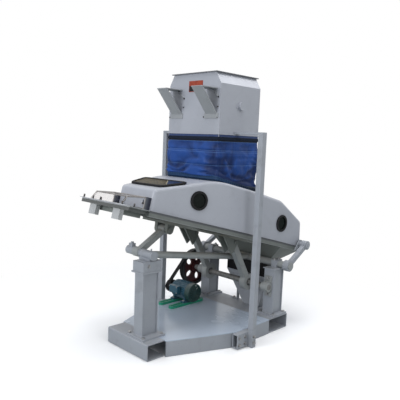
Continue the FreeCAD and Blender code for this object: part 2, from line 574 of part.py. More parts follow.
def hood_solid(tag, inset):
    """Outer form of the hood, or its inside when inset by the wall."""
    low = "-1" if inset != "0" else "0"
    profile = [("hood_stone_u + %s" % inset, low), ("hood_rice_u - %s * 1.05" % inset, low),
               ("hood_rice_top_u - %s * 1.05" % inset, "hood_rice_top - %s * 0.8" % inset),
               ("hood_drop_u - %s * 0.2" % inset, "hood_roof - %s" % inset),
               ("hood_ridge_u + %s * 0.2" % inset, "hood_roof - %s" % inset),
               ("hood_stone_u + %s" % inset, "hood_end_high - %s * 0.7" % inset)]
    side = slab("hood_side_" + tag, "xz", profile, "-hood_half - 40", "2 * hood_half + 80")
    folds = ((profile[2], "end_round"), (profile[3], "drop_round"), (profile[4], "ridge_round"))

    def side_fold(edge):
        middle = edge.CenterOfMass
        if edge.BoundBox.YLength < size("hood_half"):
            return 0
        for (u, w), radius in folds:
            if abs(middle.x - size(u)) < 0.5 and abs(middle.z - size(w)) < 0.5:
                return size(radius)
        return 0

    stone_half = "hood_stone_half - %s" % inset
    half = "hood_half - %s" % inset
    plan = [("hood_stone_u + %s" % inset, "-(%s)" % stone_half), ("hood_bend_u", "-(%s)" % half),
            ("hood_rice_u + 30", "-(%s)" % half), ("hood_rice_u + 30", half),
            ("hood_bend_u", half), ("hood_stone_u + %s" % inset, stone_half)]
    top = slab("hood_plan_" + tag, "xy", plan, "-5", "hood_roof + 60")

    def plan_fold(edge):
        middle = edge.CenterOfMass
        if edge.BoundBox.ZLength < size("hood_roof"):
            return 0
        if abs(middle.x - size("hood_bend_u")) < 0.5:
            return size("bend_round")
        if abs(middle.x - size("hood_stone_u + %s" % inset)) < 0.5:
            return size("corner_round - %s" % inset)
        return 0

    return common("hood_form_" + tag, rounded("hood_side_fold_" + tag, side, side_fold),
                  rounded("hood_plan_fold_" + tag, top, plan_fold))


def roof_edge(inset):
    """Radius for the edges between roof and side walls."""
    def pick(edge):
        middle = edge.CenterOfMass
        level = edge.BoundBox
        steep = level.ZLength > 0.8 * edge.Length
        low = level.ZMin < 5
        end = level.YLength > 0.9 * edge.Length
        if steep or low or end or abs(middle.x - size("hood_rice_u")) < 62:
            return 0
        return size("roof_round - %s" % inset)
    return pick


hood_outer = rounded("hood_outer", hood_solid("outer", "0"), roof_edge("0"))
hood_inner = rounded("hood_inner", hood_solid("inner", "hood_wall"), roof_edge("hood_wall"))


def taper_port(tag, side, radius, near, far):
    """Round bar square to the tapered side wall, between two distances from its face."""
    bar = doc.addObject("Part::Cylinder", tag)
    turn = FreeCAD.Rotation(V(0, 0, 1), side * math.degrees(math.atan(size(TAPER))))
    bar.Placement = FreeCAD.Placement(V(0, 0, 0), turn * FreeCAD.Rotation(V(1, 0, 0), -90 * side))
    bar.setExpression("Radius", bound(radius))
    bar.setExpression("Height", bound("(%s) - (%s)" % (far, near)))
    face = "(hood_stone_half + (port_taper_u - hood_stone_u) * %s)" % TAPER
    slope = "atan(%s)" % TAPER
    bar.setExpression("Placement.Base.x", bound("port_taper_u - (%s) * sin(%s)" % (near, slope)))
    bar.setExpression("Placement.Base.y", bound("%d * (%s + (%s) * cos(%s))"
                                                % (side, face, near, slope)))
    bar.setExpression("Placement.Base.z", bound("port_w"))
    return bar


def rice_port(tag, side, radius, near, far):
    """Round bar square to the straight side wall."""
    start = "hood_half + (%s)" % near if side > 0 else "-(hood_half + (%s))" % far
    return round_bar(tag, "y", "port_rice_u", start, "port_w", radius,
                     "(%s) - (%s)" % (far, near))


port_cuts = []
port_rings = []
port_panes = []
for side in (-1, 1):
    for kind, make in (("taper", taper_port), ("rice", rice_port)):
        tag = "%s_port_%d" % (kind, side + 1)
        port_cuts.append(make(tag + "_cut", side, "port_bore + 4", "-30", "30"))
        ring = make(tag + "_disc", side, "port_radius", "face_gap", "port_thick")
        bore = make(tag + "_bore", side, "port_bore", "-1", "port_thick + 1")
        port_rings.append(cut(tag + "_ring", ring, bore))
        port_panes.append(make(tag + "_pane", side, "port_bore + 3.4",
                               "face_gap - pane_thick - 0.6", "-0.3"))

window_points = [("window_from + window_rim", "-(window_half_low - window_rim)"),
                 ("window_to - window_rim", "-(window_half_high - window_rim)"),
                 ("window_to - window_rim", "window_half_high - window_rim"),
                 ("window_from + window_rim", "window_half_low - window_rim")]


def on_slope(points):
    """Roof outline seen square to the deck."""
    return [("hood_stone_u + (%s) * cos(%s)" % (s, ROOF_RISE), v) for s, v in points]


lap_low = "window_from + window_rim + window_lap"
lap_high = "window_to - window_rim - window_lap"
lap_points = [(lap_low, "-(window_half_low - window_rim - window_lap)"),
              (lap_high, "-(window_half_high - window_rim - window_lap)"),
              (lap_high, "window_half_high - window_rim - window_lap"),
              (lap_low, "window_half_low - window_rim - window_lap")]
window_cut = slab("window_cut", "xy", on_slope(lap_points), "hood_end_high - 20", "200")
collar_cut = box("collar_cut", "collar_from_u + collar_wall", "-collar_half + collar_wall",
                 "hood_roof - 60", "collar_to_u - collar_from_u - 2 * collar_wall",
                 "2 * collar_half - 2 * collar_wall", "100")
stone_mouth = box("stone_mouth", "hood_stone_u - 5", "-gate_half + 8", "gate_low - 4", "30",
                  "2 * gate_half - 16", "gate_high - gate_low - 8")
on_body("hood_shell", cut("hood_cut", hood_outer, hood_inner, window_cut, collar_cut,
                          stone_mouth, *port_cuts))


# Window: rubber frame and pane on the sloping part of the roof.

def on_roof(name, solid):
    """Solid drawn on the roof's slope, carried into the body's frame."""
    lifted = doc.addObject("Part::Compound", name)
    lifted.Links = [solid]
    lifted.Placement = FreeCAD.Placement(V(0, 0, 0), FreeCAD.Rotation(V(0, 1, 0), -1))
    lifted.setExpression("Placement.Base.x", bound("hood_stone_u"))
    lifted.setExpression("Placement.Base.z", bound("hood_end_high"))
    lifted.setExpression("Placement.Rotation.Angle", bound("-" + ROOF_RISE))
    return lifted


rim_points = [("window_from", "-window_half_low"), ("window_to", "-window_half_high"),
              ("window_to", "window_half_high"), ("window_from", "window_half_low")]


def upright_corners(radius):
    def pick(edge):
        tall = edge.BoundBox.ZLength > 0.98 * edge.Length
        return size(radius) if tall else 0
    return pick


rim_outer = rounded("window_rim_outer", slab("window_rim_blank", "xy", rim_points, "face_gap",
                                             "window_rim_high"), upright_corners("window_round"))
rim_inner = rounded("window_rim_inner", slab("window_rim_bore", "xy", window_points, "-2",
                                             "window_rim_high + 6"),
                    upright_corners("window_round - window_rim"))
window_rim = on_roof("window_rim", cut("window_rim_cut", rim_outer, rim_inner))
on_body("sight_gaskets", window_rim, *port_rings)
glass_points = [("window_from + window_rim + face_gap", "-(window_half_low - window_rim - 0.6)"),
                ("window_to - window_rim - face_gap", "-(window_half_high - window_rim - 0.6)"),
                ("window_to - window_rim - face_gap", "window_half_high - window_rim - 0.6"),
                ("window_from + window_rim + face_gap", "window_half_low - window_rim - 0.6")]
window_pane = rounded("window_pane", slab("window_pane_blank", "xy", glass_points, "face_gap",
                                          "glass_thick"),
                      upright_corners("window_round - window_rim + 1"))
on_body("sight_panes", on_roof("window_glass", window_pane), *port_panes)


# Collar that the cloth sleeve hangs round.

collar_outer = box("collar_outer", "collar_from_u", "-collar_half", "hood_roof - collar_sink",
                   "collar_to_u - collar_from_u", "2 * collar_half", "collar_sink + collar_high")
collar_inner = box("collar_inner", "collar_from_u + collar_wall", "-collar_half + collar_wall",
                   "hood_roof - collar_sink - 1", "collar_to_u - collar_from_u - 2 * collar_wall",
                   "2 * collar_half - 2 * collar_wall", "collar_sink + collar_high + 2")
collar_ring = cut("collar_ring", collar_outer, collar_inner)
on_body("cloth_collar", cut("collar_seat", collar_ring, hood_outer))


# Rim channel under the hood, with the members that carry the pivots and rods.

def rim_outline(out):
    """Plan of the hood, moved outwards."""
    stone_half = "hood_stone_half + (%s)" % out
    half = "hood_half + (%s)" % out
    return [("hood_stone_u - (%s)" % out, "-(%s)" % stone_half), ("hood_bend_u", "-(%s)" % half),
            ("hood_rice_u + (%s)" % out, "-(%s)" % half), ("hood_rice_u + (%s)" % out, half),
            ("hood_bend_u", half), ("hood_stone_u - (%s)" % out, stone_half)]


def rim_fold(edge):
    middle = edge.CenterOfMass
    tall = edge.BoundBox.ZLength > 0.98 * edge.Length
    bend = abs(middle.x - size("hood_bend_u")) < 0.5
    return size("bend_round") if tall and bend else 0


rim_blank = rounded("rim_blank", slab("rim_plate", "xy", rim_outline("rim_out"), "-rim_deep",
                                      "rim_deep"), rim_fold)
rim_hole = rounded("rim_hole", slab("rim_opening", "xy", rim_outline("-rim_in"), "-rim_deep - 1",
                                    "rim_deep + 2"), rim_fold)
STONE_PIN_U = along_deck(STONE_PIN_X, STONE_PIN_Z)
STONE_PIN_W = over_deck(STONE_PIN_X, STONE_PIN_Z)
ROD_PIN_U = along_deck(ROD_PIN_X, ROD_PIN_Z)
ROD_PIN_W = over_deck(ROD_PIN_X, ROD_PIN_Z)
RICE_PIN_U = along_deck(RICE_PIN_X, RICE_PIN_Z)
RICE_PIN_W = over_deck(RICE_PIN_X, RICE_PIN_Z)
on_body("sieve_rim", cut("rim_channel", rim_blank, rim_hole))

member_half_stone = "(hood_stone_half + (%s - member_wide / 2 - hood_stone_u) * %s - 4)" \
    % (STONE_PIN_U, TAPER)
on_body("sieve_cross_members",
        box("member_stone", STONE_PIN_U + " - member_wide / 2", "-" + member_half_stone,
            "-rim_deep - member_deep", "member_wide", "2 * " + member_half_stone, "member_deep"),
        box("member_rod", "rod_member_u - member_wide / 2", "-hood_half + 8",
            "-rim_deep - member_deep", "member_wide", "2 * hood_half - 16", "member_deep"))

deck_points = [("hood_stone_u + hood_wall + 1", "-(hood_stone_half - hood_wall - 24)"),
               ("hood_bend_u", "-(hood_half - hood_wall - 12)"),
               ("deck_end_u", "-(hood_half - hood_wall - 12)"),
               ("deck_end_u", "hood_half - hood_wall - 12"),
               ("hood_bend_u", "hood_half - hood_wall - 12"),
               ("hood_stone_u + hood_wall + 1", "hood_stone_half - hood_wall - 24")]
on_body("screen_deck", slab("screen", "xy", deck_points, "0", "deck_thick"))


# Pivot brackets on the body.

ears = []
stone_ear_at = "stone_arm_wide / 2 + stone_ear_gap"
for tag, y0 in (("rear", "stone_arm_y + " + stone_ear_at),
                ("front", "stone_arm_y - (%s) - stone_ear_thick" % stone_ear_at)):
    plate = slab("stone_ear_" + tag, "xz",
                 [(STONE_PIN_U + " - stone_ear_foot", "-rim_deep - member_deep"),
                  (STONE_PIN_U + " - stone_ear_top", STONE_PIN_W),
                  (STONE_PIN_U + " + stone_ear_top", STONE_PIN_W),
                  (STONE_PIN_U + " + stone_ear_foot", "-rim_deep - member_deep")], y0,
                 "stone_ear_thick")
    boss = round_bar("stone_boss_" + tag, "y", STONE_PIN_U, y0, STONE_PIN_W, "stone_ear_top",
                     "stone_ear_thick")
    ears += [plate, boss]
pin_hole = round_bar("stone_ear_hole", "y", STONE_PIN_U, "stone_arm_y - 100", STONE_PIN_W,
                     "eye_pin_radius + face_gap", "200")
stone_ears = cut("stone_ears", fuse("stone_ear_weld", *ears), pin_hole)
head_at = "(%s + stone_ear_thick + 0.5)" % stone_ear_at
upper_pin = round_bar("upper_pin", "y", STONE_PIN_U, "stone_arm_y - %s - 5" % head_at,
                      STONE_PIN_W, "eye_pin_radius", "2 * (%s + 5)" % head_at)
upper_heads = [round_bar("upper_head_" + tag, "y", STONE_PIN_U, y0, STONE_PIN_W,
                         "eye_pin_radius + upper_head_over", "upper_head_long")
               for tag, y0 in (("front", "stone_arm_y - %s - upper_head_long" % head_at),
                               ("rear", "stone_arm_y + " + head_at))]
on_body("stone_pivot_bracket", stone_ears, fuse("upper_pin_weld", upper_pin, *upper_heads))

rice_brackets = []
for side, place in ((-1, "front"), (1, "rear")):
    rim_side = "hood_half + rim_out + face_gap"
    plate_start = rim_side if side > 0 else "-(%s + rice_ear_thick)" % rim_side
    plate = slab("rice_ear_" + place, "xz",
                 [(RICE_PIN_U + " - rice_ear_back", "-rim_deep"),
                  (RICE_PIN_U + " + rice_ear_fore", "-rim_deep"),
                  (RICE_PIN_U + " + rice_ear_fore", RICE_PIN_W + " + rice_ear_knee"),
                  (RICE_PIN_U + " + rice_ear_nose", RICE_PIN_W + " + rice_ear_over"),
                  (RICE_PIN_U + " - rice_ear_heel", RICE_PIN_W + " + rice_ear_over")],
                 plate_start, "rice_ear_thick")
    pin_end = "rice_arm_far + washer_thick + 1"
    start = rim_side if side > 0 else "-(%s)" % pin_end
    pin = round_bar("rice_pin_" + place, "y", RICE_PIN_U, start, RICE_PIN_W, "eye_pin_radius",
                    "%s - (%s)" % (pin_end, rim_side))
    boss_start = "%s + rice_ear_thick" % rim_side if side > 0 else "-(rice_arm_near - 2)"
    boss = round_bar("rice_pin_boss_" + place, "y", RICE_PIN_U, boss_start, RICE_PIN_W,
                     "eye_pin_radius + rice_boss_over",
                     "rice_arm_near - 2 - (%s + rice_ear_thick)" % rim_side)
    start = "rice_arm_far + 1" if side > 0 else "-(%s)" % pin_end
    washer = round_bar("rice_washer_" + place, "y", RICE_PIN_U, start, RICE_PIN_W,
                       "eye_pin_radius + washer_over", "washer_thick")
    rice_brackets.append(fuse("rice_ear_weld_" + place, plate, pin, boss, washer))
on_body("rice_pivot_brackets", *rice_brackets)


# Connecting rods, their brackets and the eccentric shaft.

def rod(place, y):
    half = "drum_wide / 2"
    eye = round_bar("rod_eye_" + place, "y", "0", "-rod_tube / 2", "0", "rod_eye", "rod_tube")
    bar = box("rod_bar_" + place, "0", "-rod_tube / 2", "-rod_tube / 2", "rod_long", "rod_tube",
              "rod_tube")
    drum = round_bar("rod_drum_" + place, "y", "rod_long", "-" + half, "0", "drum_radius",
                     "drum_wide")
    eye_bore = round_bar("rod_eye_bore_" + place, "y", "0", "-rod_tube", "0",
                         "eye_pin_radius + run_gap", "2 * rod_tube")
    hollow = round_bar("rod_drum_bore_" + place, "y", "rod_long", "-drum_wide / 2 + drum_wall",
                       "0", "drum_bore", "drum_wide - 2 * drum_wall")
    passage = round_bar("rod_drum_hole_" + place, "y", "rod_long", "-drum_wide", "0",
                        "drum_hole", "2 * drum_wide")
    weld = fuse("rod_weld_" + place, eye, bar, drum)
    node("connecting_rod_" + place, cut("rod_cut_" + place, weld, eye_bore, hollow, passage),
         x=ROD_PIN_X, y=y, z=ROD_PIN_Z, turn="90 - arm_rise")


def rod_bracket(place, y):
    ear_pieces = []
    inner = "rod_tube / 2 + ear_gap"
    for side in (-1, 1):
        start = "%s + %s" % (y, inner) if side > 0 else "%s - (%s) - ear_thick" % (y, inner)
        ear_pieces.append(slab("rod_ear_%s_%d" % (place, side + 1), "xz",
                               [(ROD_PIN_U + " - rod_ear_back", "-rim_deep - member_deep"),
                                (ROD_PIN_U + " + rod_ear_fore", "-rim_deep - member_deep"),
                                (ROD_PIN_U + " + rod_ear_fore", ROD_PIN_W + " - rod_ear_knee"),
                                (ROD_PIN_U + " + rod_ear_tip", ROD_PIN_W + " - rod_ear_tip_drop"),
                                (ROD_PIN_U + " - rod_ear_heel",
                                 ROD_PIN_W + " - rod_ear_heel_drop")],
                               start, "ear_thick"))
    reach = "(%s + ear_thick + rod_pin_over)" % inner
    pin = round_bar("rod_pin_" + place, "y", ROD_PIN_U, "%s - %s" % (y, reach), ROD_PIN_W,
                    "eye_pin_radius", "2 * " + reach)
    return fuse("rod_bracket_weld_" + place, pin, *ear_pieces)


for place, y in (("rear", "rod_rear_y"), ("front", "rod_front_y")):
    rod(place, y)
on_body("rod_brackets", rod_bracket("rear", "rod_rear_y"), rod_bracket("front", "rod_front_y"))

shaft_bar = round_bar("shaft_bar", "y", "shaft_x", "shaft_front_y", "shaft_high", "shaft_radius",
                      "shaft_rear_y - shaft_front_y")
sheaves = [round_bar("sheave_" + place, "y", "shaft_x + throw * cos(arm_rise)",
                     "%s - sheave_wide / 2" % y, "shaft_high + throw * sin(arm_rise)",
                     "sheave_radius", "sheave_wide")
           for place, y in (("rear", "rod_rear_y"), ("front", "rod_front_y"))]
node("eccentric_shaft", fuse("shaft_weld", shaft_bar, *sheaves))

bearings = []
for side, place in ((-1, "front"), (1, "rear")):
    face = "rice_column_x - rice_column_long / 2"
    y0 = "%d * rice_column_y - bearing_wide / 2" % side
    ring = round_bar("bearing_ring_" + place, "y", "shaft_x", y0, "shaft_high",
                     "bearing_radius - bearing_neck", "bearing_wide")
    cover = round_bar("bearing_cover_" + place, "y", "shaft_x", y0 + " + 10", "shaft_high",
                      "bearing_radius - bearing_neck + 2", "bearing_wide - 20")
    web = box("bearing_web_" + place, "shaft_x", y0 + " + 8", "shaft_high - bearing_radius + 6",
              "%s - shaft_x" % face, "bearing_wide - 16", "2 * bearing_radius - 12")
    foot = box("bearing_foot_" + place, "%s - bearing_base" % face, y0,
               "shaft_high - bearing_base_high / 2", "bearing_base", "bearing_wide",
               "bearing_base_high")
    bore = round_bar("bearing_bore_" + place, "y", "shaft_x", y0 + " - 1", "shaft_high",
                     "shaft_radius + fit_gap", "bearing_wide + 2")
    bearings.append(cut("bearing_cut_" + place,
                        fuse("bearing_weld_" + place, ring, cover, web, foot), bore))
node("shaft_bearings", *bearings)


# Pulleys, turned profiles with two belt grooves, revolved about the shaft's line.

def pulley_profile(radius, hub, bore, web, rim):
    """Half section of a pulley: across is the radius, up is along the shaft."""
    wide = "pulley_wide"
    points = [("%s + fit_gap" % bore, "0"), (hub, "0")]
    if web:
        points += [(hub, "(%s - %s) / 2" % (wide, web)),
                   ("%s - %s" % (radius, rim), "(%s - %s) / 2" % (wide, web)),
                   ("%s - %s" % (radius, rim), "0")]
    points.append((radius, "0"))
    for number in range(2):
        start = "groove_side + %d * (groove_top + groove_side)" % number
        slant = "(groove_top - groove_low) / 2"
        points += [(radius, start), ("%s - groove_deep" % radius, "%s + %s" % (start, slant)),
                   ("%s - groove_deep" % radius, "%s + groove_top - %s" % (start, slant)),
                   (radius, "%s + groove_top" % start)]
    points.append((radius, wide))
    if web:
        points += [("%s - %s" % (radius, rim), wide),
                   ("%s - %s" % (radius, rim), "(%s + %s) / 2" % (wide, web)),
                   (hub, "(%s + %s) / 2" % (wide, web))]
    points += [(hub, wide), ("%s + fit_gap" % bore, wide)]
    return points


def plane_of(body, role):
    return next(f for f in body.Origin.OriginFeatures if f.Role == role)


def pulley(label, radius, hub, bore, web, rim, x, z, holes):
    body = doc.addObject("PartDesign::Body", label)
    body.Label = label
    turned = body.newObject("Sketcher::SketchObject", label + "_section")
    turned.AttachmentSupport = (plane_of(body, "XY_Plane"), "")
    turned.MapMode = "FlatFace"
    outline(turned, pulley_profile(radius, hub, bore, web, rim))
    spin = body.newObject("PartDesign::Revolution", label + "_turned")
    spin.Profile = turned
    spin.ReferenceAxis = (turned, ["V_Axis"])
    spin.Angle = 360
    doc.recompute()
    if holes:
        window = body.newObject("Sketcher::SketchObject", label + "_window")
        window.AttachmentSupport = (plane_of(body, "XZ_Plane"), "")
        window.MapMode = "FlatFace"
        middle = size("(%s + %s - %s) / 2" % (hub, radius, rim))
        oval = Part.Ellipse(V(middle, 0, 0), size("hole_long") / 2, size("hole_wide") / 2)
        oval.XAxis = V(1, 0, 0)
        window.addGeometry([oval], False)
        first = body.newObject("PartDesign::Pocket", label + "_hole")
        first.Profile = window
        first.Type = 1
        first.Midplane = True
        doc.recompute()
        ring = body.newObject("PartDesign::PolarPattern", label + "_holes")
        ring.Originals = [first]
        ring.Axis = (turned, ["V_Axis"])
        ring.Angle = 360
        ring.setExpression("Occurrences", bound(holes))
        body.Tip = ring
    body.Placement = FreeCAD.Placement(V(0, 0, 0), FreeCAD.Rotation())
    body.setExpression("Placement.Base.x", bound(x))
    body.setExpression("Placement.Base.y", bound("pulley_y"))
    body.setExpression("Placement.Base.z", bound(z))
    nodes.append(body)
    return body


pulley("big_pulley", "pulley_radius", "pulley_hub", "shaft_radius", "pulley_web", "pulley_rim",
       "shaft_x", "shaft_high", "pulley_holes")
pulley("motor_pulley", "small_radius", "small_hub", "motor_shaft_radius", None, "pulley_rim",
       "motor_x", MOTOR_Z, None)


def belt_loop(number):
    """V-belt round both pulleys: two straight runs joined by two arcs."""
    big = size("pulley_radius - groove_deep + belt_gap")
    small = size("small_radius - groove_deep + belt_gap")
    start = V(size("shaft_x"), 0, size("shaft_high"))
    end = V(size("motor_x"), 0, size(MOTOR_Z))
    gap = end - start
    lean = math.atan2(gap.z, gap.x)
    open_angle = math.acos((big - small) / gap.Length)
    y = size("pulley_y + groove_side + groove_top / 2") + number * size("groove_top + groove_side")

    def rim(centre, radius, angle):
        return V(centre.x + radius * math.cos(angle), y, centre.z + radius * math.sin(angle))

    up, down = lean + open_angle, lean - open_angle
    path = Part.Wire([
        Part.LineSegment(rim(start, big, up), rim(end, small, up)).toShape(),
        Part.Arc(rim(end, small, up), rim(end, small, lean), rim(end, small, down)).toShape(),
        Part.LineSegment(rim(end, small, down), rim(start, big, down)).toShape(),
        Part.Arc(rim(start, big, down), rim(start, big, lean + math.pi),
                 rim(start, big, up)).toShape()])
    out = V(math.cos(up), 0, math.sin(up))
    thick = size("groove_deep - belt_gap + belt_proud")
    foot = rim(start, big, up)
    half_low, half_top = size("belt_low / 2"), size("belt_top / 2")
    section = Part.makePolygon([foot + V(0, -half_low, 0), foot + V(0, half_low, 0),
                                foot + out * thick + V(0, half_top, 0),
                                foot + out * thick + V(0, -half_top, 0),
                                foot + V(0, -half_low, 0)])
    return path.makePipeShell([section], True, False)


belts = doc.addObject("Part::Feature", "v_belts")
belts.Label = "v_belts"
belts.Shape = Part.makeCompound([belt_loop(0), belt_loop(1)])
nodes.append(belts)


# Motor: finned frame, end shield, fan cowl, terminal box, shaft and two slide rails.

motor_core = round_bar("motor_core", "y", "motor_x", "motor_front_y", MOTOR_Z, "motor_radius",
                       "motor_rear_y - motor_front_y")
motor_nose = round_bar("motor_nose_bar", "y", "motor_x", "motor_rear_y", MOTOR_Z,
                       "motor_radius + shield_over", "shield_long")
motor_boss = round_bar("motor_boss", "y", "motor_x", "motor_rear_y", MOTOR_Z, "motor_nose",
                       "motor_end_y - motor_rear_y")
fins = []
for number in range(int(sizes["fin_count"])):
    fin = doc.addObject("Part::Box", "motor_fin_%d" % number)
    fin.setExpression("Length", bound("motor_radius + fin_high"))
    fin.setExpression("Width", bound("motor_long - 2 * fin_inset"))
    fin.setExpression("Height", bound("fin_thick"))
    turn = 360.0 * number / sizes["fin_count"]
    fin.Placement = FreeCAD.Placement(V(0, 0, 0), FreeCAD.Rotation(V(0, 1, 0), turn))
    fin.setExpression("Placement.Base.x", bound("motor_x"))
    fin.setExpression("Placement.Base.y", bound("motor_front_y + fin_inset"))
    fin.setExpression("Placement.Base.z", bound(MOTOR_Z))
    if abs(math.sin(math.radians(turn)) - 1) > 0.12:
        fins.append(fin)
feet = []
for place in ("front", "rear"):
    feet.append(box("motor_foot_" + place, "motor_x - motor_foot_long / 2",
                    "rail_%s_y - motor_foot_wide / 2" % place, "base_high + rail_high",
                    "motor_foot_long", "motor_foot_wide", "motor_foot_thick"))
    feet.append(box("motor_leg_" + place, "motor_x - motor_leg_long / 2",
                    "rail_%s_y - motor_leg_wide / 2" % place, "base_high + rail_high",
                    "motor_leg_long", "motor_leg_wide", "motor_axis - motor_leg_short"))
motor_bore = round_bar("motor_bore", "y", "motor_x", "motor_front_y + motor_shaft_in - 2",
                       MOTOR_Z, "motor_shaft_radius + fit_gap", "2 * motor_long")
motor_weld = fuse("motor_weld", motor_core, motor_nose, motor_boss, *(fins + feet))
terminal_body = box("terminal_body", "motor_x - terminal_out",
                    "(motor_front_y + motor_rear_y - terminal_long) / 2 + terminal_back",
                    "%s - terminal_drop" % MOTOR_Z,
                    "terminal_out - motor_radius - fin_high - face_gap",
                    "terminal_long", "terminal_high")


def outer_edge(edge):
    """The terminal box is rounded on the side away from the motor."""
    return size("terminal_round") if edge.BoundBox.XMax < size("motor_x - terminal_out") + 0.5 else 0


terminal_box = rounded("terminal_box", terminal_body, outer_edge)
node("motor_frame", cut("motor_cut", motor_weld, motor_bore), terminal_box)

cowl_outer = round_bar("cowl_outer", "y", "motor_x", "cowl_y", MOTOR_Z, "cowl_radius",
                       "motor_front_y - face_gap - cowl_y")
cowl_inner = round_bar("cowl_inner", "y", "motor_x", "cowl_y + cowl_wall", MOTOR_Z,
                       "cowl_radius - cowl_wall", "motor_front_y - cowl_y")


def front_rim(edge):
    return size("cowl_round") if edge.BoundBox.YMax < size("cowl_y") + 0.5 else 0


slots = []
for number in range(int(sizes["cowl_slots"])):
    slot = doc.addObject("Part::Box", "cowl_slot_%d" % number)
    for prop, name in (("Length", "slot_long"), ("Width", "slot_deep"), ("Height", "slot_wide")):
        slot.setExpression(prop, bound(name))
    angle = 360.0 * number / sizes["cowl_slots"]
    turn = FreeCAD.Rotation(V(0, 1, 0), angle)
    slot.Placement = FreeCAD.Placement(V(0, 0, 0), turn)
    slot.setExpression("Placement.Base.x", bound("motor_x + slot_from * cos(%.4f)" % angle))
    slot.setExpression("Placement.Base.y", bound("cowl_y - slot_deep / 4"))
    slot.setExpression("Placement.Base.z", bound("%s - slot_from * sin(%.4f)" % (MOTOR_Z, angle)))
    slots.append(slot)
cowl_shell = cut("cowl_shell", rounded("cowl_round", cowl_outer, front_rim), cowl_inner)
node("motor_fan_cowl", cut("cowl_cut", cowl_shell, fuse("cowl_slots_all", *slots)))

node("motor_shaft", round_bar("motor_shaft_bar", "y", "motor_x",
                              "motor_front_y + motor_shaft_in", MOTOR_Z, "motor_shaft_radius",
                              "pulley_y + pulley_wide + 4 - motor_front_y - motor_shaft_in"))
slide_rails = []
for place in ("front", "rear"):
    rail = box("rail_body_" + place, "rail_x0", "rail_%s_y - rail_wide / 2" % place, "base_high",
               "rail_x1 - rail_x0", "rail_wide", "rail_high")
    trough = box("rail_trough_" + place, "rail_x0 + trough_inset",
                 "rail_%s_y - trough_wide / 2" % place, "base_high + trough_floor",
                 "rail_x1 - rail_x0 - 2 * trough_inset", "trough_wide", "rail_high")
    slide_rails.append(cut("rail_cut_" + place,
                           rounded("rail_round_" + place, rail,
                                   upright_corners("rail_wide / 2 - 1")),
                           rounded("rail_slot_" + place, trough,
                                   upright_corners("trough_wide / 2 - 1"))))
node("motor_slide_rails", *slide_rails)


# Stone tray past the hood: floor, end bar, spouts, gate, cheeks and clear cover.

TRAY_START = "hood_stone_u - rim_out - face_gap"
tray_long = "(%s - tray_tip_u)" % TRAY_START
tray_block = box("tray_block", "tray_tip_u", "-tray_half", "-tray_deep", tray_long,
                 "2 * tray_half", "tray_deep")
tray_space = box("tray_space", "tray_tip_u - 1", "-tray_half + tray_plate",
                 "-tray_deep + tray_plate", tray_long + " + 2", "2 * tray_half - 2 * tray_plate",
                 "tray_deep")
tray_wings = box("tray_wings", "tray_tip_u", "-tray_half - tray_flange", "-tray_plate", tray_long,
                 "2 * (tray_half + tray_flange)", "tray_plate")
tray_gap = box("tray_gap", "tray_tip_u - 1", "-tray_half + tray_plate", "-tray_plate - 1",
               tray_long + " + 2", "2 * tray_half - 2 * tray_plate", "tray_plate + 2")
spout_u = "tray_tip_u + 6"
spout_holes = [box("spout_hole_%d" % (side + 1), spout_u + " + spout_wall",
                   "%d * (tray_half - tray_plate - spout_wide / 2) - spout_wide / 2 + spout_wall"
                   % side, "-tray_deep - 1", "spout_long - 2 * spout_wall",
                   "spout_wide - 2 * spout_wall", "tray_plate + 2") for side in (-1, 1)]
tray_walls = cut("tray_walls", tray_block, tray_space)
tray_lips = cut("tray_lips", tray_wings, tray_gap)
tray_floor = cut("tray_cut", fuse("tray_weld", tray_walls, tray_lips), *spout_holes)
cheeks = []
for side in (-1, 1):
    start = "tray_half - cheek_thick" if side > 0 else "-tray_half"
    cheeks.append(box("cheek_%d" % (side + 1), "hood_stone_u - face_gap - cheek_long", start, "0",
                      "cheek_long", "cheek_thick", "cheek_high"))
on_body("stone_tray", tray_floor, *cheeks)

bar_top = box("end_bar_top", "tray_tip_u - end_bar_out", "-end_bar_half", "-tray_plate",
              "end_bar_out - face_gap", "2 * end_bar_half", "tray_plate")
bar_web = box("end_bar_web", "tray_tip_u - face_gap - tray_plate", "-end_bar_half", "-tray_deep",
              "tray_plate", "2 * end_bar_half", "tray_deep")
on_body("stone_end_bar", fuse("end_bar", bar_top, bar_web))

spouts = []
for side, place in ((-1, "front"), (1, "rear")):
    y0 = "%d * (tray_half - tray_plate - spout_wide / 2) - spout_wide / 2" % side
    shell = box("spout_shell_" + place, spout_u, y0, "-tray_deep - spout_deep", "spout_long",
                "spout_wide", "spout_deep")
    bore = box("spout_bore_" + place, spout_u + " + spout_wall", y0 + " + spout_wall",
               "-tray_deep - spout_deep - 1", "spout_long - 2 * spout_wall",
               "spout_wide - 2 * spout_wall", "spout_deep + 2")
    spouts.append(cut("spout_cut_" + place, shell, bore))
on_body("stone_spouts", *spouts)

collect_shell = box("collect_shell", "box_from_u", "-box_half", "-tray_deep - box_deep",
                    "box_to_u - box_from_u", "2 * box_half", "box_deep")
collect_space = box("collect_space", "box_from_u + collect_wall", "-box_half + collect_wall",
                    "-tray_deep - box_deep + collect_wall",
                    "box_to_u - box_from_u - 2 * collect_wall", "2 * (box_half - collect_wall)",
                    "box_deep")
on_body("tray_under_box", cut("collect_box", collect_shell, collect_space))

gate_plate = box("gate_plate", "hood_stone_u - face_gap - gate_thick", "-gate_half", "gate_low",
                 "gate_thick", "2 * gate_half", "gate_high - gate_low")
gate_slots = [box("gate_slot_%d" % (side + 1), "hood_stone_u - face_gap - gate_thick - 5",
                  "%d * gate_slot_at - gate_slot_wide / 2" % side, "gate_high - gate_slot_drop",
                  "gate_thick + 10", "gate_slot_wide", "gate_slot_high")
              for side in (-1, 1)]
on_body("stone_gate", cut("gate", gate_plate, *gate_slots))

COVER_END = "hood_stone_u - face_gap - cheek_long - face_gap"


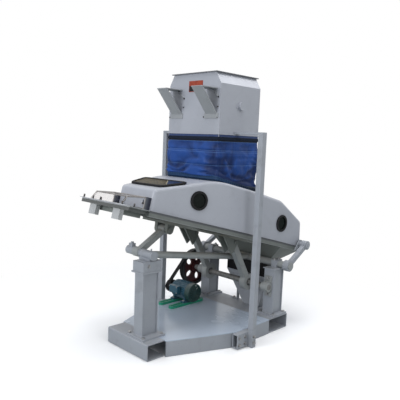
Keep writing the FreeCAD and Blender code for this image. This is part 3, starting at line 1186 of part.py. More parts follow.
def cover_form(tag, inset):
    low = "0" if inset == "0" else "-2"
    end = COVER_END if inset == "0" else COVER_END + " + 2"
    points = [(end, low), (end, "cover_high - %s" % inset),
              ("tray_tip_u + cover_knee + %s * 0.4" % inset, "cover_low - %s" % inset),
              ("tray_tip_u + %s * 1.2" % inset, low)]
    return slab("cover_" + tag, "xz", points, "-tray_half + %s" % inset,
                "2 * (tray_half - %s)" % inset)


on_body("clear_cover", cut("cover_cut", cover_form("outer", "0"),
                           cover_form("inner", "cover_wall")))

tray_bolts = []
tip_row = "tray_tip_u - tray_bolt_out"
wing_row = "tray_tip_u + tray_bolt_in"
for number, (u, y) in enumerate(((tip_row, "118"), (tip_row, "36"), (tip_row, "-190"),
                                 (tip_row, "222"), (wing_row, "-tray_half - tray_flange + 12"),
                                 (wing_row, "tray_half + tray_flange - 12"))):
    tray_bolts.append(round_bar("tray_bolt_%d" % number, "z", u, y, "0", "tray_bolt_radius",
                                "tray_bolt_up"))
on_body("tray_bolts", *tray_bolts)


# Rice discharge: funnel under the body, black sleeve and the standing chute.

def deck_spot(u, v, w):
    """Point of the sieve body in the machine's frame."""
    tilt = math.radians(size("deck_tilt"))
    along, over = size(u), size(w)
    return V(along * math.cos(tilt) + over * math.sin(tilt), size(v),
             size("deck_high") - along * math.sin(tilt) + over * math.cos(tilt))


def loop(spots):
    return Part.makePolygon(spots + [spots[0]])


def corners(x0, x1, y0, y1, z):
    return [V(x0, y0, z), V(x1, y0, z), V(x1, y1, z), V(x0, y1, z)]


def funnel_form(inset, over):
    u0 = "funnel_from_u + %s" % inset
    u1 = "funnel_to_u - %s" % inset
    half = "funnel_half - %s" % inset
    top = [deck_spot(u0, "-(%s)" % half, "-rim_deep + %s" % over),
           deck_spot(u1, "-(%s)" % half, "-rim_deep + %s" % over),
           deck_spot(u1, half, "-rim_deep + %s" % over),
           deck_spot(u0, half, "-rim_deep + %s" % over)]
    low = corners(size("mouth_x0 + %s" % inset), size("mouth_x1 - %s" % inset),
                  -size("mouth_half - %s" % inset), size("mouth_half - %s" % inset),
                  size("mouth_high - %s" % over))
    return Part.makeLoft([loop(low), loop(top)], True, True)


funnel = doc.addObject("Part::Feature", "discharge_funnel")
funnel.Label = "discharge_funnel"
funnel.Shape = funnel_form("0", "0").cut(funnel_form("funnel_wall", "1")).removeSplitter()
nodes.append(funnel)

sleeve_outer = box("outlet_sleeve_outer", "mouth_x0 + sleeve_inset", "-mouth_half + sleeve_inset",
                   "chute_top + face_gap", "mouth_x1 - mouth_x0 - 2 * sleeve_inset",
                   "2 * (mouth_half - sleeve_inset)",
                   "mouth_high - sleeve_gap - chute_top - face_gap")
sleeve_inner = box("outlet_sleeve_inner", "mouth_x0 + sleeve_inset + sleeve_wall",
                   "-mouth_half + sleeve_inset + sleeve_wall", "chute_top - 1",
                   "mouth_x1 - mouth_x0 - 2 * (sleeve_inset + sleeve_wall)",
                   "2 * (mouth_half - sleeve_inset - sleeve_wall)", "mouth_high - chute_top + 2")
node("outlet_sleeve", cut("outlet_sleeve_cut", sleeve_outer, sleeve_inner))


def chute_form(inset, over):
    top = corners(size("mouth_x0 - chute_over") + inset, size("mouth_x1 + chute_over") - inset,
                  -size("mouth_half + chute_over") + inset, size("mouth_half + chute_over") - inset,
                  size("chute_top") + over)
    low = corners(size("chute_x0") + inset, size("chute_x1") - inset, size("chute_y0") + inset,
                  size("chute_y1") - inset, size("chute_low") - over)
    return Part.makeLoft([loop(low), loop(top)], True, True)


def chute_leg():
    rise = (size("chute_top") - size("chute_low")) \
        / (size("mouth_half + chute_over") - size("chute_y1"))
    y0 = size("leg_y")
    y1 = y0 + size("leg_thick")
    z0 = size("base_high")
    tops = [size("chute_low") + (y - size("chute_y1")) * rise + 1 for y in (y0, y1)]
    x = size("leg_x")
    face = Part.Face(loop([V(x, y0, z0), V(x, y1, z0), V(x, y1, tops[1]), V(x, y0, tops[0])]))
    foot = Part.makeBox(size("leg_wide"), size("leg_foot"), size("leg_thick"), V(x, y0, z0))
    return face.extrude(V(size("leg_wide"), 0, 0)).fuse(foot)


chute = doc.addObject("Part::Feature", "outlet_chute")
chute.Label = "outlet_chute"
chute_walls = chute_form(0, 0).cut(chute_form(size("chute_wall"), 1))
chute_legs = chute_leg().cut(chute_form(size("chute_wall") / 2, 1))
chute.Shape = chute_walls.fuse(chute_legs).removeSplitter()
nodes.append(chute)


# Upper suction box with its flanges, strip brackets, bare plate and damper.

def box_form(tag, inset, low, high):
    half = "box_side - %s" % inset
    neck = "box_neck_half - %s" % inset
    points = [("-(%s)" % half, low), (half, low), (half, "box_shoulder"), (neck, high),
              ("-(%s)" % neck, high), ("-(%s)" % half, "box_shoulder")]
    return slab("suction_" + tag, "yz", points, "box_x0 + %s" % inset,
                "box_x1 - box_x0 - 2 * %s" % inset)


sill = box("box_sill_plate", "box_x0 - box_sill_out", "-box_side - box_sill_out", "box_sill",
           "box_x1 - box_x0 + 2 * box_sill_out", "2 * (box_side + box_sill_out)",
           "box_sill_thick")
damper_hole = round_bar("damper_hole", "y", "damper_x", "-box_side - 10", "damper_high",
                        "damper_radius + fit_gap", "2 * box_side + 20")
node("suction_box", cut("suction_cut",
                        fuse("suction_weld", box_form("outer", "0", "box_low", "box_top"), sill),
                        box_form("inner", "box_wall", "box_low - 1", "box_top + 1"),
                        damper_hole))

flange_outer = box("flange_outer", "box_x0 - flange_out", "-box_neck_half - flange_out",
                   "box_top", "box_x1 - box_x0 + 2 * flange_out",
                   "2 * (box_neck_half + flange_out)", "flange_thick")
flange_inner = box("flange_inner", "box_x0 + box_wall", "-box_neck_half + box_wall",
                   "box_top - 1", "box_x1 - box_x0 - 2 * box_wall",
                   "2 * (box_neck_half - box_wall)", "flange_thick + 2")
node("suction_box_flange", cut("flange_cut", flange_outer, flange_inner))

strips = []
for place, y in (("front", "strip_front_y"), ("rear", "strip_rear_y")):
    y0 = "%s - strip_wide / 2" % y
    wall = "box_x0"
    top = box("strip_top_" + place, "%s - strip_reach" % wall, y0, "strip_top - strip_thick",
              "strip_reach", "strip_wide", "strip_thick")
    foot = box("strip_foot_" + place, "%s - strip_thick" % wall, y0 + " - strip_foot_over",
               "strip_top - strip_drop - strip_foot", "strip_thick",
               "strip_wide + 2 * strip_foot_over", "strip_foot + strip_thick")
    strut = slab("strip_strut_" + place, "xz",
                 [("%s - strip_reach" % wall, "strip_top"),
                  ("%s - strip_reach + strip_thick * 1.3" % wall, "strip_top"),
                  (wall, "strip_top - strip_drop + strip_thick * 1.5"),
                  (wall, "strip_top - strip_drop"),
                  ("%s - strip_thick" % wall, "strip_top - strip_drop")], y0, "strip_wide")
    strips.append(fuse("strip_weld_" + place, top, foot, strut))
node("strip_brackets", *strips)

node("blank_plate", box("blank_plate_body", "box_x0 - plate_thick", "plate_y0", "plate_low",
                        "plate_thick", "plate_y1 - plate_y0", "plate_high"))

damper_bar = round_bar("damper_bar", "y", "damper_x", "-box_side - knob_thick", "damper_high",
                       "damper_radius", "2 * box_side + knob_thick + 12")
damper_knob = round_bar("damper_disc", "y", "damper_x", "-box_side - knob_thick - face_gap",
                        "damper_high", "knob_radius", "knob_thick")
node("damper_shaft", fuse("damper_weld", damper_bar, damper_knob))
flap_body = box("flap_body", "damper_x - damper_radius - flap_thick - flap_gap", "-flap_half",
                "damper_high - flap_reach", "flap_thick", "2 * flap_half", "2 * flap_reach")
node("damper_flap", flap_body)


# Cloth sleeve and its strap.

def cloth_form(tag, out, top):
    """Straight sleeve cut off along the sloping roof."""
    return box("cloth_block_" + tag, "box_x0 - (%s)" % out, "-box_side - (%s)" % out,
               "deck_high", "box_x1 - box_x0 + 2 * (%s)" % out, "2 * (box_side + (%s))" % out,
               "%s - deck_high" % top)


roof_block = box("roof_block", "roof_from", "-roof_half", "-roof_deep", "roof_long",
                 "2 * roof_half", "hood_roof + cloth_clear + roof_deep")
roof_block.Placement = FreeCAD.Placement(V(0, 0, 0), FreeCAD.Rotation(V(0, 1, 0), 1))
roof_block.setExpression("Placement.Rotation.Angle", bound("deck_tilt"))
roof_block.setExpression("Placement.Base.x",
                         bound("roof_from * cos(deck_tilt) - roof_deep * sin(deck_tilt)"))
roof_block.setExpression("Placement.Base.z", bound("deck_high - roof_from * sin(deck_tilt)"
                                                   " - roof_deep * cos(deck_tilt)"))
node("cloth_sleeve", cut("cloth_cut", cloth_form("outer", "cloth_out", "box_sill - face_gap"),
                         cloth_form("inner", "cloth_out - cloth_wall", "box_sill + 1"),
                         roof_block))
strap_inner = box("strap_inner", "box_x0 - cloth_out - face_gap",
                  "-box_side - cloth_out - face_gap", "strap_low - 1",
                  "box_x1 - box_x0 + 2 * (cloth_out + face_gap)",
                  "2 * (box_side + cloth_out + face_gap)", "strap_high + 2")
strap_outer = box("strap_outer", "box_x0 - cloth_out - face_gap - strap_thick",
                  "-box_side - cloth_out - face_gap - strap_thick", "strap_low",
                  "box_x1 - box_x0 + 2 * (cloth_out + face_gap + strap_thick)",
                  "2 * (box_side + cloth_out + face_gap + strap_thick)", "strap_high")
node("cloth_strap", cut("strap_cut", strap_outer, strap_inner))


# Posts that carry the suction box from the base.

posts = []
post_blocks = []
support_bars = []
for side, place, post in ((-1, "front", "(post_y + post_front_out)"), (1, "rear", "post_y")):
    tube = box("post_tube_" + place, "post_x - post_wide / 2",
               "%d * %s - post_wide / 2" % (side, post), "0", "post_wide", "post_wide", "post_high")
    hollow = box("post_hollow_" + place, "post_x - post_wide / 2 + post_wall",
                 "%d * %s - post_wide / 2 + post_wall" % (side, post), "-1",
                 "post_wide - 2 * post_wall", "post_wide - 2 * post_wall",
                 "post_high - post_wall + 1")
    posts.append(cut("post_cut_" + place, tube, hollow))
    inner_face = post + " - post_wide / 2"
    gap = "(%s - base_rice_half)" % inner_face
    start = "base_rice_half" if side > 0 else "-(%s)" % inner_face
    block = box("post_block_" + place, "post_x - post_wide / 2 - bracket_back", start,
                "bracket_low", "post_wide + bracket_back", gap, "bracket_high")
    space = box("post_block_space_" + place, "post_x - post_wide / 2 - bracket_back - bracket_lap",
                start + " + bracket_wall", "bracket_low + bracket_wall",
                "post_wide + bracket_back - bracket_lap", "%s - 2 * bracket_wall" % gap,
                "bracket_high - 2 * bracket_wall")
    post_blocks.append(cut("post_block_cut_" + place, block, space))
    start = "box_side + face_gap" if side > 0 else "-(%s)" % inner_face
    bar = box("box_bar_" + place, "post_x - post_wide / 2", start,
              "box_sill + box_sill_thick + face_gap", "post_wide",
              "%s - box_side - face_gap" % inner_face, "bar_high")
    support_bars.append(bar)
node("box_posts", *posts)
node("post_brackets", *post_blocks)
node("box_support_bars", *support_bars)


# Every object must be sound before a file is written.

doc.recompute()
failed = [t.Name for t in doc.Objects if "Invalid" in t.State or "Error" in t.State]
if failed:
    raise RuntimeError("objects failed: " + ", ".join(failed))
unsound = [n.Label for n in nodes
           if n.Shape.isNull() or not n.Shape.isValid() or not n.Shape.Solids]
if unsound:
    raise RuntimeError("bad shapes: " + ", ".join(unsound))
for part in nodes:
    part.Shape.exportStep("parts/%s.step" % part.Label)
print("wrote", len(nodes), "sub-parts")
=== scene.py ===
import math
import random

import bpy
from mathutils import Matrix, Vector, noise
from mathutils.bvhtree import BVHTree
from mathutils.geometry import delaunay_2d_cdt


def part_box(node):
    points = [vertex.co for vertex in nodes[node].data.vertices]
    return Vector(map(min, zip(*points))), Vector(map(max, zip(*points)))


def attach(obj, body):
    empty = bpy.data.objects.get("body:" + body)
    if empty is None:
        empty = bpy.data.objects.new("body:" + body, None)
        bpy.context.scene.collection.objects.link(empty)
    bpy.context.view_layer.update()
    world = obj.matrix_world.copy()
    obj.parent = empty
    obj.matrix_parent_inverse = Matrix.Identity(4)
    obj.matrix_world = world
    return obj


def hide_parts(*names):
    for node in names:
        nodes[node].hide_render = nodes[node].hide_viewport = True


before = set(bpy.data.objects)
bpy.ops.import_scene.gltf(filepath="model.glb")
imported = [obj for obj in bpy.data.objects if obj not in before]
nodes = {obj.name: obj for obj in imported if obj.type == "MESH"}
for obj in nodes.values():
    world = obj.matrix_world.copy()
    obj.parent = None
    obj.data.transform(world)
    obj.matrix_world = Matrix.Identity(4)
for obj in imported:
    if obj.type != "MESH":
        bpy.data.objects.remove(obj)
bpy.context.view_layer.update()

# Studio: a pale floor, a white surround and soft lamps, seen from the photograph's place.
# The camera was fitted to the machine, which stands on the floor round the origin.
camera_place = Vector((-2.5967, -2.5699, 1.4163))
camera_heading, camera_tilt, camera_roll = (math.radians(a) for a in (45.5466, -6.5614, 2.3286))
ahead = Vector((math.sin(camera_heading) * math.cos(camera_tilt),
                math.cos(camera_heading) * math.cos(camera_tilt), math.sin(camera_tilt)))
level = Vector((math.cos(camera_heading), -math.sin(camera_heading), 0))
upward = level.cross(ahead)
aside = math.cos(camera_roll) * level + math.sin(camera_roll) * upward
over = math.cos(camera_roll) * upward - math.sin(camera_roll) * level
camera = bpy.data.objects.new("camera", bpy.data.cameras.new("camera"))
bpy.context.collection.objects.link(camera)
camera.matrix_world = (Matrix.Translation(camera_place)
                       @ Matrix((aside, over, -ahead)).transposed().to_4x4())
camera.data.lens = 44.749
camera.data.sensor_width = 36
bpy.context.scene.camera = camera
bpy.context.scene.view_settings.view_transform = "Standard"


class Wire:
    """One output of a finish's node tree, with sums written as in Python."""

    def __init__(self, finish, socket):
        self.finish = finish
        self.socket = socket

    def sum(self, operation, *terms):
        return self.finish.node("ShaderNodeMath", {"operation": operation}, dict(enumerate(terms)))

    def __add__(self, other):
        return self.sum("ADD", self, other)

    __radd__ = __add__

    def __sub__(self, other):
        return self.sum("SUBTRACT", self, other)

    def __rsub__(self, other):
        return self.sum("SUBTRACT", other, self)

    def __mul__(self, other):
        return self.sum("MULTIPLY", self, other)

    __rmul__ = __mul__

    def __pow__(self, other):
        return self.sum("POWER", self, other)

    def __abs__(self):
        return self.sum("ABSOLUTE", self)

    def above(self, other):
        return self.sum("GREATER_THAN", self, other)

    def below(self, other):
        return self.sum("LESS_THAN", self, other)

    def wave(self):
        return self.sum("SINE", self)


class Finish:
    """A finish on the object: its node tree, and one way to add a node to it."""

    def __init__(self, name, colour, roughness, metal=0.0):
        self.material = bpy.data.materials.new(name)
        self.material.use_nodes = True
        self.tree = self.material.node_tree
        self.skin = self.tree.nodes["Principled BSDF"].inputs
        self.skin["Base Color"].default_value = (*colour, 1)
        self.skin["Roughness"].default_value = roughness
        self.skin["Metallic"].default_value = metal

    def node(self, kind, settings=None, sockets=None, output=0):
        made = self.tree.nodes.new(kind)
        for name, value in (settings or {}).items():
            if name == "stops":
                for stop, (place, shade) in enumerate(value):
                    if stop > 1:
                        made.color_ramp.elements.new(place)
                    made.color_ramp.elements[stop].position = place
                    made.color_ramp.elements[stop].color = (*shade, 1)
            else:
                setattr(made, name, value)
        for name, value in (sockets or {}).items():
            self.feed(made.inputs[name], value)
        return Wire(self, made.outputs[output])

    def feed(self, socket, value):
        if isinstance(value, Wire):
            self.tree.links.new(value.socket, socket)
        else:
            socket.default_value = value

    def place(self):
        return self.node("ShaderNodeTexCoord", output="Object")

    def axes(self, vector=None):
        split = self.node("ShaderNodeSeparateXYZ", None, {0: vector or self.place()})
        return [Wire(self, out) for out in split.socket.node.outputs]

    def noise(self, scale, detail=3.0, vector=None, distortion=0.0):
        return self.node("ShaderNodeTexNoise", None,
                         {"Vector": vector or self.place(), "Scale": scale, "Detail": detail,
                          "Distortion": distortion})

    def mix(self, share, first, second):
        pair = {6: first if isinstance(first, Wire) else (*first, 1),
                7: second if isinstance(second, Wire) else (*second, 1)}
        return self.node("ShaderNodeMix", {"data_type": "RGBA"}, {0: share, **pair}, output=2)

    def paint(self, colour):
        self.feed(self.skin["Base Color"], colour)

    def bump(self, height, depth, strength=1.0):
        self.feed(self.skin["Normal"], self.node(
            "ShaderNodeBump", None, {"Height": height, "Distance": depth, "Strength": strength}))


def spread(wire, low, high):
    """Share of the way from low to high, held between 0 and 1."""
    return wire.finish.node("ShaderNodeMapRange", {"clamp": True},
                            {0: wire, 1: low, 2: high, 3: 0.0, 4: 1.0})


floor_reach = 30.0
floor_drop = 0.0015
floor_mesh = bpy.data.meshes.new("floor")
floor_mesh.from_pydata([(x * floor_reach, y * floor_reach, -floor_drop)
                        for x, y in ((-1, -1), (1, -1), (1, 1), (-1, 1))],
                       [], [(0, 1, 2, 3)])
floor = bpy.data.objects.new("floor", floor_mesh)
bpy.context.collection.objects.link(floor)
floor_paint = Finish("pale_floor", (1.0, 1.0, 1.0), 0.9)
floor_paint.skin["Specular IOR Level"].default_value = 0.0
rays = floor_paint.node("ShaderNodeLightPath", output="Is Camera Ray")
floor_paint.paint(floor_paint.mix(rays, (0.52, 0.54, 0.53), (1.0, 1.0, 1.0)))
floor_x, floor_y, _ = floor_paint.axes()
outlying = spread((floor_x ** 2.0 + floor_y ** 2.0) ** 0.5, 0.9, 2.3) * rays
glow = floor_paint.node("ShaderNodeEmission", None, {"Color": (1, 1, 1, 1), "Strength": 1.0})
lit_floor = Wire(floor_paint, floor_paint.tree.nodes["Principled BSDF"].outputs[0])
floor_paint.feed(floor_paint.tree.nodes["Material Output"].inputs["Surface"], floor_paint.node(
    "ShaderNodeMixShader", None, {0: outlying, 1: lit_floor, 2: glow}))
floor_mesh.materials.append(floor_paint.material)

world = bpy.data.worlds.new("surround")
bpy.context.scene.world = world
world.use_nodes = True
sky = world.node_tree
seen = sky.nodes.new("ShaderNodeLightPath")
dim = sky.nodes["Background"]
dim.inputs["Color"].default_value = (0.92, 0.95, 1.0, 1)
dim.inputs["Strength"].default_value = 0.56
white = sky.nodes.new("ShaderNodeBackground")
white.inputs["Color"].default_value = (1, 1, 1, 1)
white.inputs["Strength"].default_value = 1.0
last = seen.outputs["Is Camera Ray"]
for kind in ("Is Glossy Ray", "Is Transmission Ray"):
    either = sky.nodes.new("ShaderNodeMath")
    either.operation = "MAXIMUM"
    sky.links.new(last, either.inputs[0])
    sky.links.new(seen.outputs[kind], either.inputs[1])
    last = either.outputs[0]
chooser = sky.nodes.new("ShaderNodeMixShader")
sky.links.new(last, chooser.inputs[0])
sky.links.new(dim.outputs[0], chooser.inputs[1])
sky.links.new(white.outputs[0], chooser.inputs[2])
sky.links.new(chooser.outputs[0], sky.nodes["World Output"].inputs[0])


def lamp(name, place, target, size, power, colour=(1, 1, 1)):
    light = bpy.data.lights.new(name, "AREA")
    light.shape = "DISK"
    light.size = size
    light.energy = power
    light.color = colour
    made = bpy.data.objects.new(name, light)
    bpy.context.collection.objects.link(made)
    made.location = place
    made.rotation_euler = (Vector(target) - Vector(place)).to_track_quat("-Z", "Y").to_euler()


lamp("sky_lamp", (-0.6, -0.6, 5.2), (0, 0, 0.9), 3.6, 112)
lamp("left_lamp", (-4.6, 0.3, 2.2), (0, 0, 0.8), 2.6, 96, (0.94, 0.96, 1.0))
lamp("front_lamp", (-1.1, -4.6, 2.9), (0.1, 0, 1.0), 2.2, 50)
lamp("gloss_lamp", (3.2, -0.5, 4.4), (0.15, -0.25, 1.85), 1.8, 46, (0.94, 0.95, 1.0))


# Base, columns and posts: folded plate and welded box sections in one grey machine enamel.
# It is sprayed on, so it has a faint orange peel, cloudy runs, dust on what faces up and
# darker grime where hands and rice dust reach.
enamel_colour = (0.30, 0.32, 0.355)
dust_colour = (0.36, 0.365, 0.375)
grime_colour = (0.13, 0.135, 0.13)


def enamel(name, colour=enamel_colour, roughness=0.34, grime=0.35, peel=0.00012, dust=0.5):
    coat = Finish(name, colour, roughness)
    cloudy = spread(coat.noise(3.2, 4), 0.35, 0.7)
    tone = coat.mix(cloudy * 0.55, colour, tuple(0.88 * c for c in colour))
    blotch = spread(coat.noise(11.0, 5, distortion=0.6), 0.55, 0.8)
    tone = coat.mix(blotch * grime, tone, grime_colour)
    facing = coat.axes(coat.node("ShaderNodeNewGeometry", output="Normal"))[2]
    settled = spread(facing, 0.55, 0.98) * spread(coat.noise(26.0, 5), 0.35, 0.7)
    tone = coat.mix(settled * dust, tone, dust_colour)
    speck = spread(coat.noise(140.0, 2), 0.68, 0.74)
    coat.paint(coat.mix(speck * 0.35, tone, grime_colour))
    coat.feed(coat.skin["Roughness"], roughness + cloudy * 0.1 + settled * (0.4 * dust))
    coat.bump(coat.noise(420.0, 2), peel)
    return coat.material


def tree_node(tree, kind, settings=None, sockets=None):
    """Adds one node to a geometry tree, with its settings and its sockets' values or links."""
    made = tree.nodes.new(kind)
    for name, value in (settings or {}).items():
        setattr(made, name, value)
    for name, value in (sockets or {}).items():
        if isinstance(value, bpy.types.NodeSocket):
            tree.links.new(value, made.inputs[name])
        else:
            made.inputs[name].default_value = value
    return made.outputs


def geometry_tree(name, **sizes):
    """A tree that takes a mesh and named sizes and gives a mesh."""
    tree = bpy.data.node_groups.new(name, "GeometryNodeTree")
    tree.interface.new_socket("Geometry", in_out="INPUT", socket_type="NodeSocketGeometry")
    for label, kind in sizes.items():
        tree.interface.new_socket(label, in_out="INPUT", socket_type="NodeSocket" + kind)
    tree.interface.new_socket("Geometry", in_out="OUTPUT", socket_type="NodeSocketGeometry")
    return tree, tree.nodes.new("NodeGroupInput").outputs


smoother, given = geometry_tree("curve_smoother")
merged = tree_node(smoother, "GeometryNodeMergeByDistance", None,
                   {"Geometry": given["Geometry"], "Distance": 0.00001})
soft = tree_node(smoother, "GeometryNodeSetShadeSmooth", None, {"Geometry": merged["Geometry"]})
fold = tree_node(smoother, "GeometryNodeInputMeshEdgeAngle")
crisp = tree_node(smoother, "FunctionNodeCompare", {"operation": "GREATER_THAN"},
                  {0: fold["Unsigned Angle"], 1: math.radians(28)})
edged = tree_node(smoother, "GeometryNodeSetShadeSmooth", {"domain": "EDGE"},
                  {"Geometry": soft["Geometry"], "Selection": crisp[0], "Shade Smooth": False})
tree_node(smoother, "NodeGroupOutput", None, {"Geometry": edged["Geometry"]})


def dressed(material, *names):
    """Puts one finish on CAD nodes and turns their curved faces smooth."""
    for name in names:
        piece = nodes[name]
        piece.data.materials.clear()
        piece.data.materials.append(material)
        piece.modifiers.new("smooth_curves", "NODES").node_group = smoother


grey_enamel = enamel("grey_enamel")
dressed(grey_enamel, "base_aprons", "base_end_channels", "stone_column", "stone_column_cap",
        "stone_pivot_housing", "stone_pivot_clamp", "stone_pivot_pin", "rice_columns",
        "cross_tube_clamps", "box_posts", "post_brackets", "box_support_bars", "outlet_chute")
# The deck plate's paler, bluer enamel is partly a painted reflection of the bright sky on the
# glossy deck.
deck_sheen_enamel = enamel("deck_sheen_enamel", (0.41, 0.475, 0.565), 0.2, 0.0, 0.00002, dust=0.0)
dressed(deck_sheen_enamel, "base_deck_plate")

# Fixings: hexagon heads on washers that hold the columns, bearings, clamps, posts and motor.
# They are zinc plated and gone dull, and each is turned by its own amount.
bare_steel = Finish("bare_steel", (0.42, 0.42, 0.43), 0.32, 1.0)
turning = bare_steel.noise(60.0, 4)
bare_steel.feed(bare_steel.skin["Roughness"], 0.26 + turning * 0.2)
bare_steel.paint(bare_steel.mix(spread(turning, 0.45, 0.7), (0.42, 0.42, 0.43),
                                (0.25, 0.235, 0.215)))
dressed(bare_steel.material, "column_foot_bolts", "motor_shaft")
dark_steel = Finish("dark_steel", (0.05, 0.05, 0.052), 0.45, 0.6)
rust = spread(dark_steel.noise(75.0, 4), 0.45, 0.72)
dark_steel.paint(dark_steel.mix(rust, (0.045, 0.046, 0.05), (0.10, 0.075, 0.055)))

hex_fixings, given = geometry_tree("hex_fixings", across="Float", high="Float", washer="Float",
                                   finish="Material")
washer_thick = 0.002
corner_radius = tree_node(hex_fixings, "ShaderNodeMath", {"operation": "DIVIDE"},
                          {0: given["across"], 1: 2 * math.cos(math.radians(30))})
head = tree_node(hex_fixings, "GeometryNodeMeshCylinder", None,
                 {"Vertices": 6, "Radius": corner_radius[0], "Depth": given["high"]})
half_high = tree_node(hex_fixings, "ShaderNodeMath", {"operation": "MULTIPLY_ADD"},
                      {0: given["high"], 1: 0.5, 2: washer_thick})
head_up = tree_node(hex_fixings, "ShaderNodeCombineXYZ", None, {"Z": half_high[0]})
head_set = tree_node(hex_fixings, "GeometryNodeTransform", None,
                     {"Geometry": head["Mesh"], "Translation": head_up[0]})
washer_radius = tree_node(hex_fixings, "ShaderNodeMath", {"operation": "MULTIPLY_ADD"},
                          {0: given["across"], 1: 0.5, 2: given["washer"]})
washer = tree_node(hex_fixings, "GeometryNodeMeshCylinder", None,
                   {"Vertices": 20, "Radius": washer_radius[0], "Depth": 2 * washer_thick})
one_fixing = tree_node(hex_fixings, "GeometryNodeJoinGeometry", None, {0: head_set["Geometry"]})
hex_fixings.links.new(washer["Mesh"], one_fixing[0].node.inputs[0])
way = tree_node(hex_fixings, "GeometryNodeInputNamedAttribute", {"data_type": "FLOAT_VECTOR"},
                {"Name": "way"})
aligned = tree_node(hex_fixings, "FunctionNodeAlignRotationToVector", {"axis": "Z"},
                    {"Vector": way["Attribute"]})
spin = tree_node(hex_fixings, "FunctionNodeRandomValue", {"data_type": "FLOAT"},
                 {2: 0.0, 3: math.radians(60), "Seed": 7})
twist = tree_node(hex_fixings, "FunctionNodeAxisAngleToRotation", None,
                  {"Axis": (0, 0, 1), "Angle": spin[1]})
turned = tree_node(hex_fixings, "FunctionNodeRotateRotation", {"rotation_space": "LOCAL"},
                   {"Rotation": aligned[0], "Rotate By": twist[0]})
planted = tree_node(hex_fixings, "GeometryNodeInstanceOnPoints", None,
                    {"Points": given["Geometry"], "Instance": one_fixing[0],
                     "Rotation": turned[0]})
real = tree_node(hex_fixings, "GeometryNodeRealizeInstances", None, {0: planted[0]})
finished = tree_node(hex_fixings, "GeometryNodeSetMaterial", None,
                     {"Geometry": real[0], "Material": given["finish"]})
tree_node(hex_fixings, "NodeGroupOutput", None, {"Geometry": finished[0]})


def grown(name, tree, spots, body, slot, ways=(), links=(), **sizes):
    """Runs a tree on points or paths and keeps the plain mesh it makes, riding on a body."""
    seeds = bpy.data.meshes.new(name + "_seeds")
    seeds.from_pydata(spots, links, [])
    if ways:
        aims = seeds.attributes.new("way", "FLOAT_VECTOR", "POINT")
        for number, aim in enumerate(ways):
            aims.data[number].vector = aim
    bed = bpy.data.objects.new(name + "_bed", seeds)
    bpy.context.collection.objects.link(bed)
    growth = bed.modifiers.new("growth", "NODES")
    growth.node_group = tree
    for item in tree.interface.items_tree:
        if item.name in sizes:
            growth[item.identifier] = sizes[item.name]
    mesh = bpy.data.meshes.new_from_object(
        bed.evaluated_get(bpy.context.evaluated_depsgraph_get()))
    bed.modifiers.clear()
    bpy.data.objects.remove(bed)
    mesh.name = name
    piece = bpy.data.objects.new(name, mesh)
    bpy.context.collection.objects.link(piece)
    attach(piece, body)
    return piece


def bolts(name, spots, body, across, high, washer, finish=bare_steel.material):
    """Hexagon heads, each given as its place and the way it points."""
    return grown(name, hex_fixings, [spot for spot, aim in spots], body, "bright_steel",
                 ways=[aim for spot, aim in spots], across=across, high=high, washer=washer,
                 finish=finish)


frame_bolts = []
for y in (-0.34, 0.34):
    frame_bolts += [((0.464, y + 0.001, z), (-1, 0, 0)) for z in (0.274, 0.402)]
    frame_bolts += [((x, y, 0.536), (0, 0, 1)) for x in (0.530, 0.590)]
frame_bolts.append(((-0.548, -0.116, 0.597), (0, -1, 0)))
frame_bolts += [((x, -0.4725, z), (0, -1, 0)) for x in (-0.012, 0.048) for z in (0.032, 0.080)]
frame_bolts += [((0.096, -0.5135, z), (0, -1, 0)) for z in (0.034, 0.078)]
frame_bolts += [((0.096, 0.4975, z), (0, 1, 0)) for z in (0.034, 0.078)]
frame_bolts += [((0.593, 0.098, 0.116), (0, 0, 1))]
bolts("frame_bolts", frame_bolts, "base", 0.017, 0.009, 0.004)
motor_bolts = [((x, y, 0.144), (0, 0, 1)) for x in (0.113, 0.237) for y in (0.231, 0.353)]
bolts("motor_foot_bolts", motor_bolts, "base", 0.013, 0.007, 0.004)
cover_screws = [((0.065, y, z), (-1, 0, 0)) for y in (0.265, 0.347) for z in (0.208, 0.254)]
bolts("terminal_cover_screws", cover_screws, "base", 0.006, 0.003, 0.001)

# Weld beads: the columns stand on their foot plates in hand laid fillet welds, painted over.
bead_on_path, given = geometry_tree("bead_on_path", radius="Float", ripple="Float", step="Float",
                                    finish="Material")
line = tree_node(bead_on_path, "GeometryNodeMeshToCurve", None, {"Mesh": given["Geometry"]})
even = tree_node(bead_on_path, "GeometryNodeResampleCurve", {"mode": "LENGTH"},
                 {"Curve": line[0], "Length": given["step"]})
wander = tree_node(bead_on_path, "ShaderNodeTexNoise", None, {"Scale": 90.0})
centred = tree_node(bead_on_path, "ShaderNodeVectorMath", {"operation": "SUBTRACT"},
                    {0: wander["Color"], 1: (0.5, 0.5, 0.5)})
small = tree_node(bead_on_path, "ShaderNodeVectorMath", {"operation": "SCALE"},
                  {0: centred[0], "Scale": given["ripple"]})
laid = tree_node(bead_on_path, "GeometryNodeSetPosition", None, {0: even[0], "Offset": small[0]})
ring_shape = tree_node(bead_on_path, "GeometryNodeCurvePrimitiveCircle", None,
                       {"Resolution": 8, "Radius": given["radius"]})
tube = tree_node(bead_on_path, "GeometryNodeCurveToMesh", None,
                 {"Curve": laid[0], "Profile Curve": ring_shape[0], "Fill Caps": True})
real = tree_node(bead_on_path, "GeometryNodeRealizeInstances", None, {0: tube[0]})
finished = tree_node(bead_on_path, "GeometryNodeSetMaterial", None,
                     {"Geometry": real[0], "Material": given["finish"]})
tree_node(bead_on_path, "NodeGroupOutput", None, {"Geometry": finished[0]})


def paths(*lines):
    """Points and links of several polylines, closed where the last point is the first."""
    spots, links = [], []
    for points in lines:
        start = len(spots)
        closed = points[0] == points[-1]
        kept = points[:-1] if closed else points
        spots += kept
        links += [(start + i, start + i + 1) for i in range(len(kept) - 1)]
        if closed:
            links.append((len(spots) - 1, start))
    return spots, links


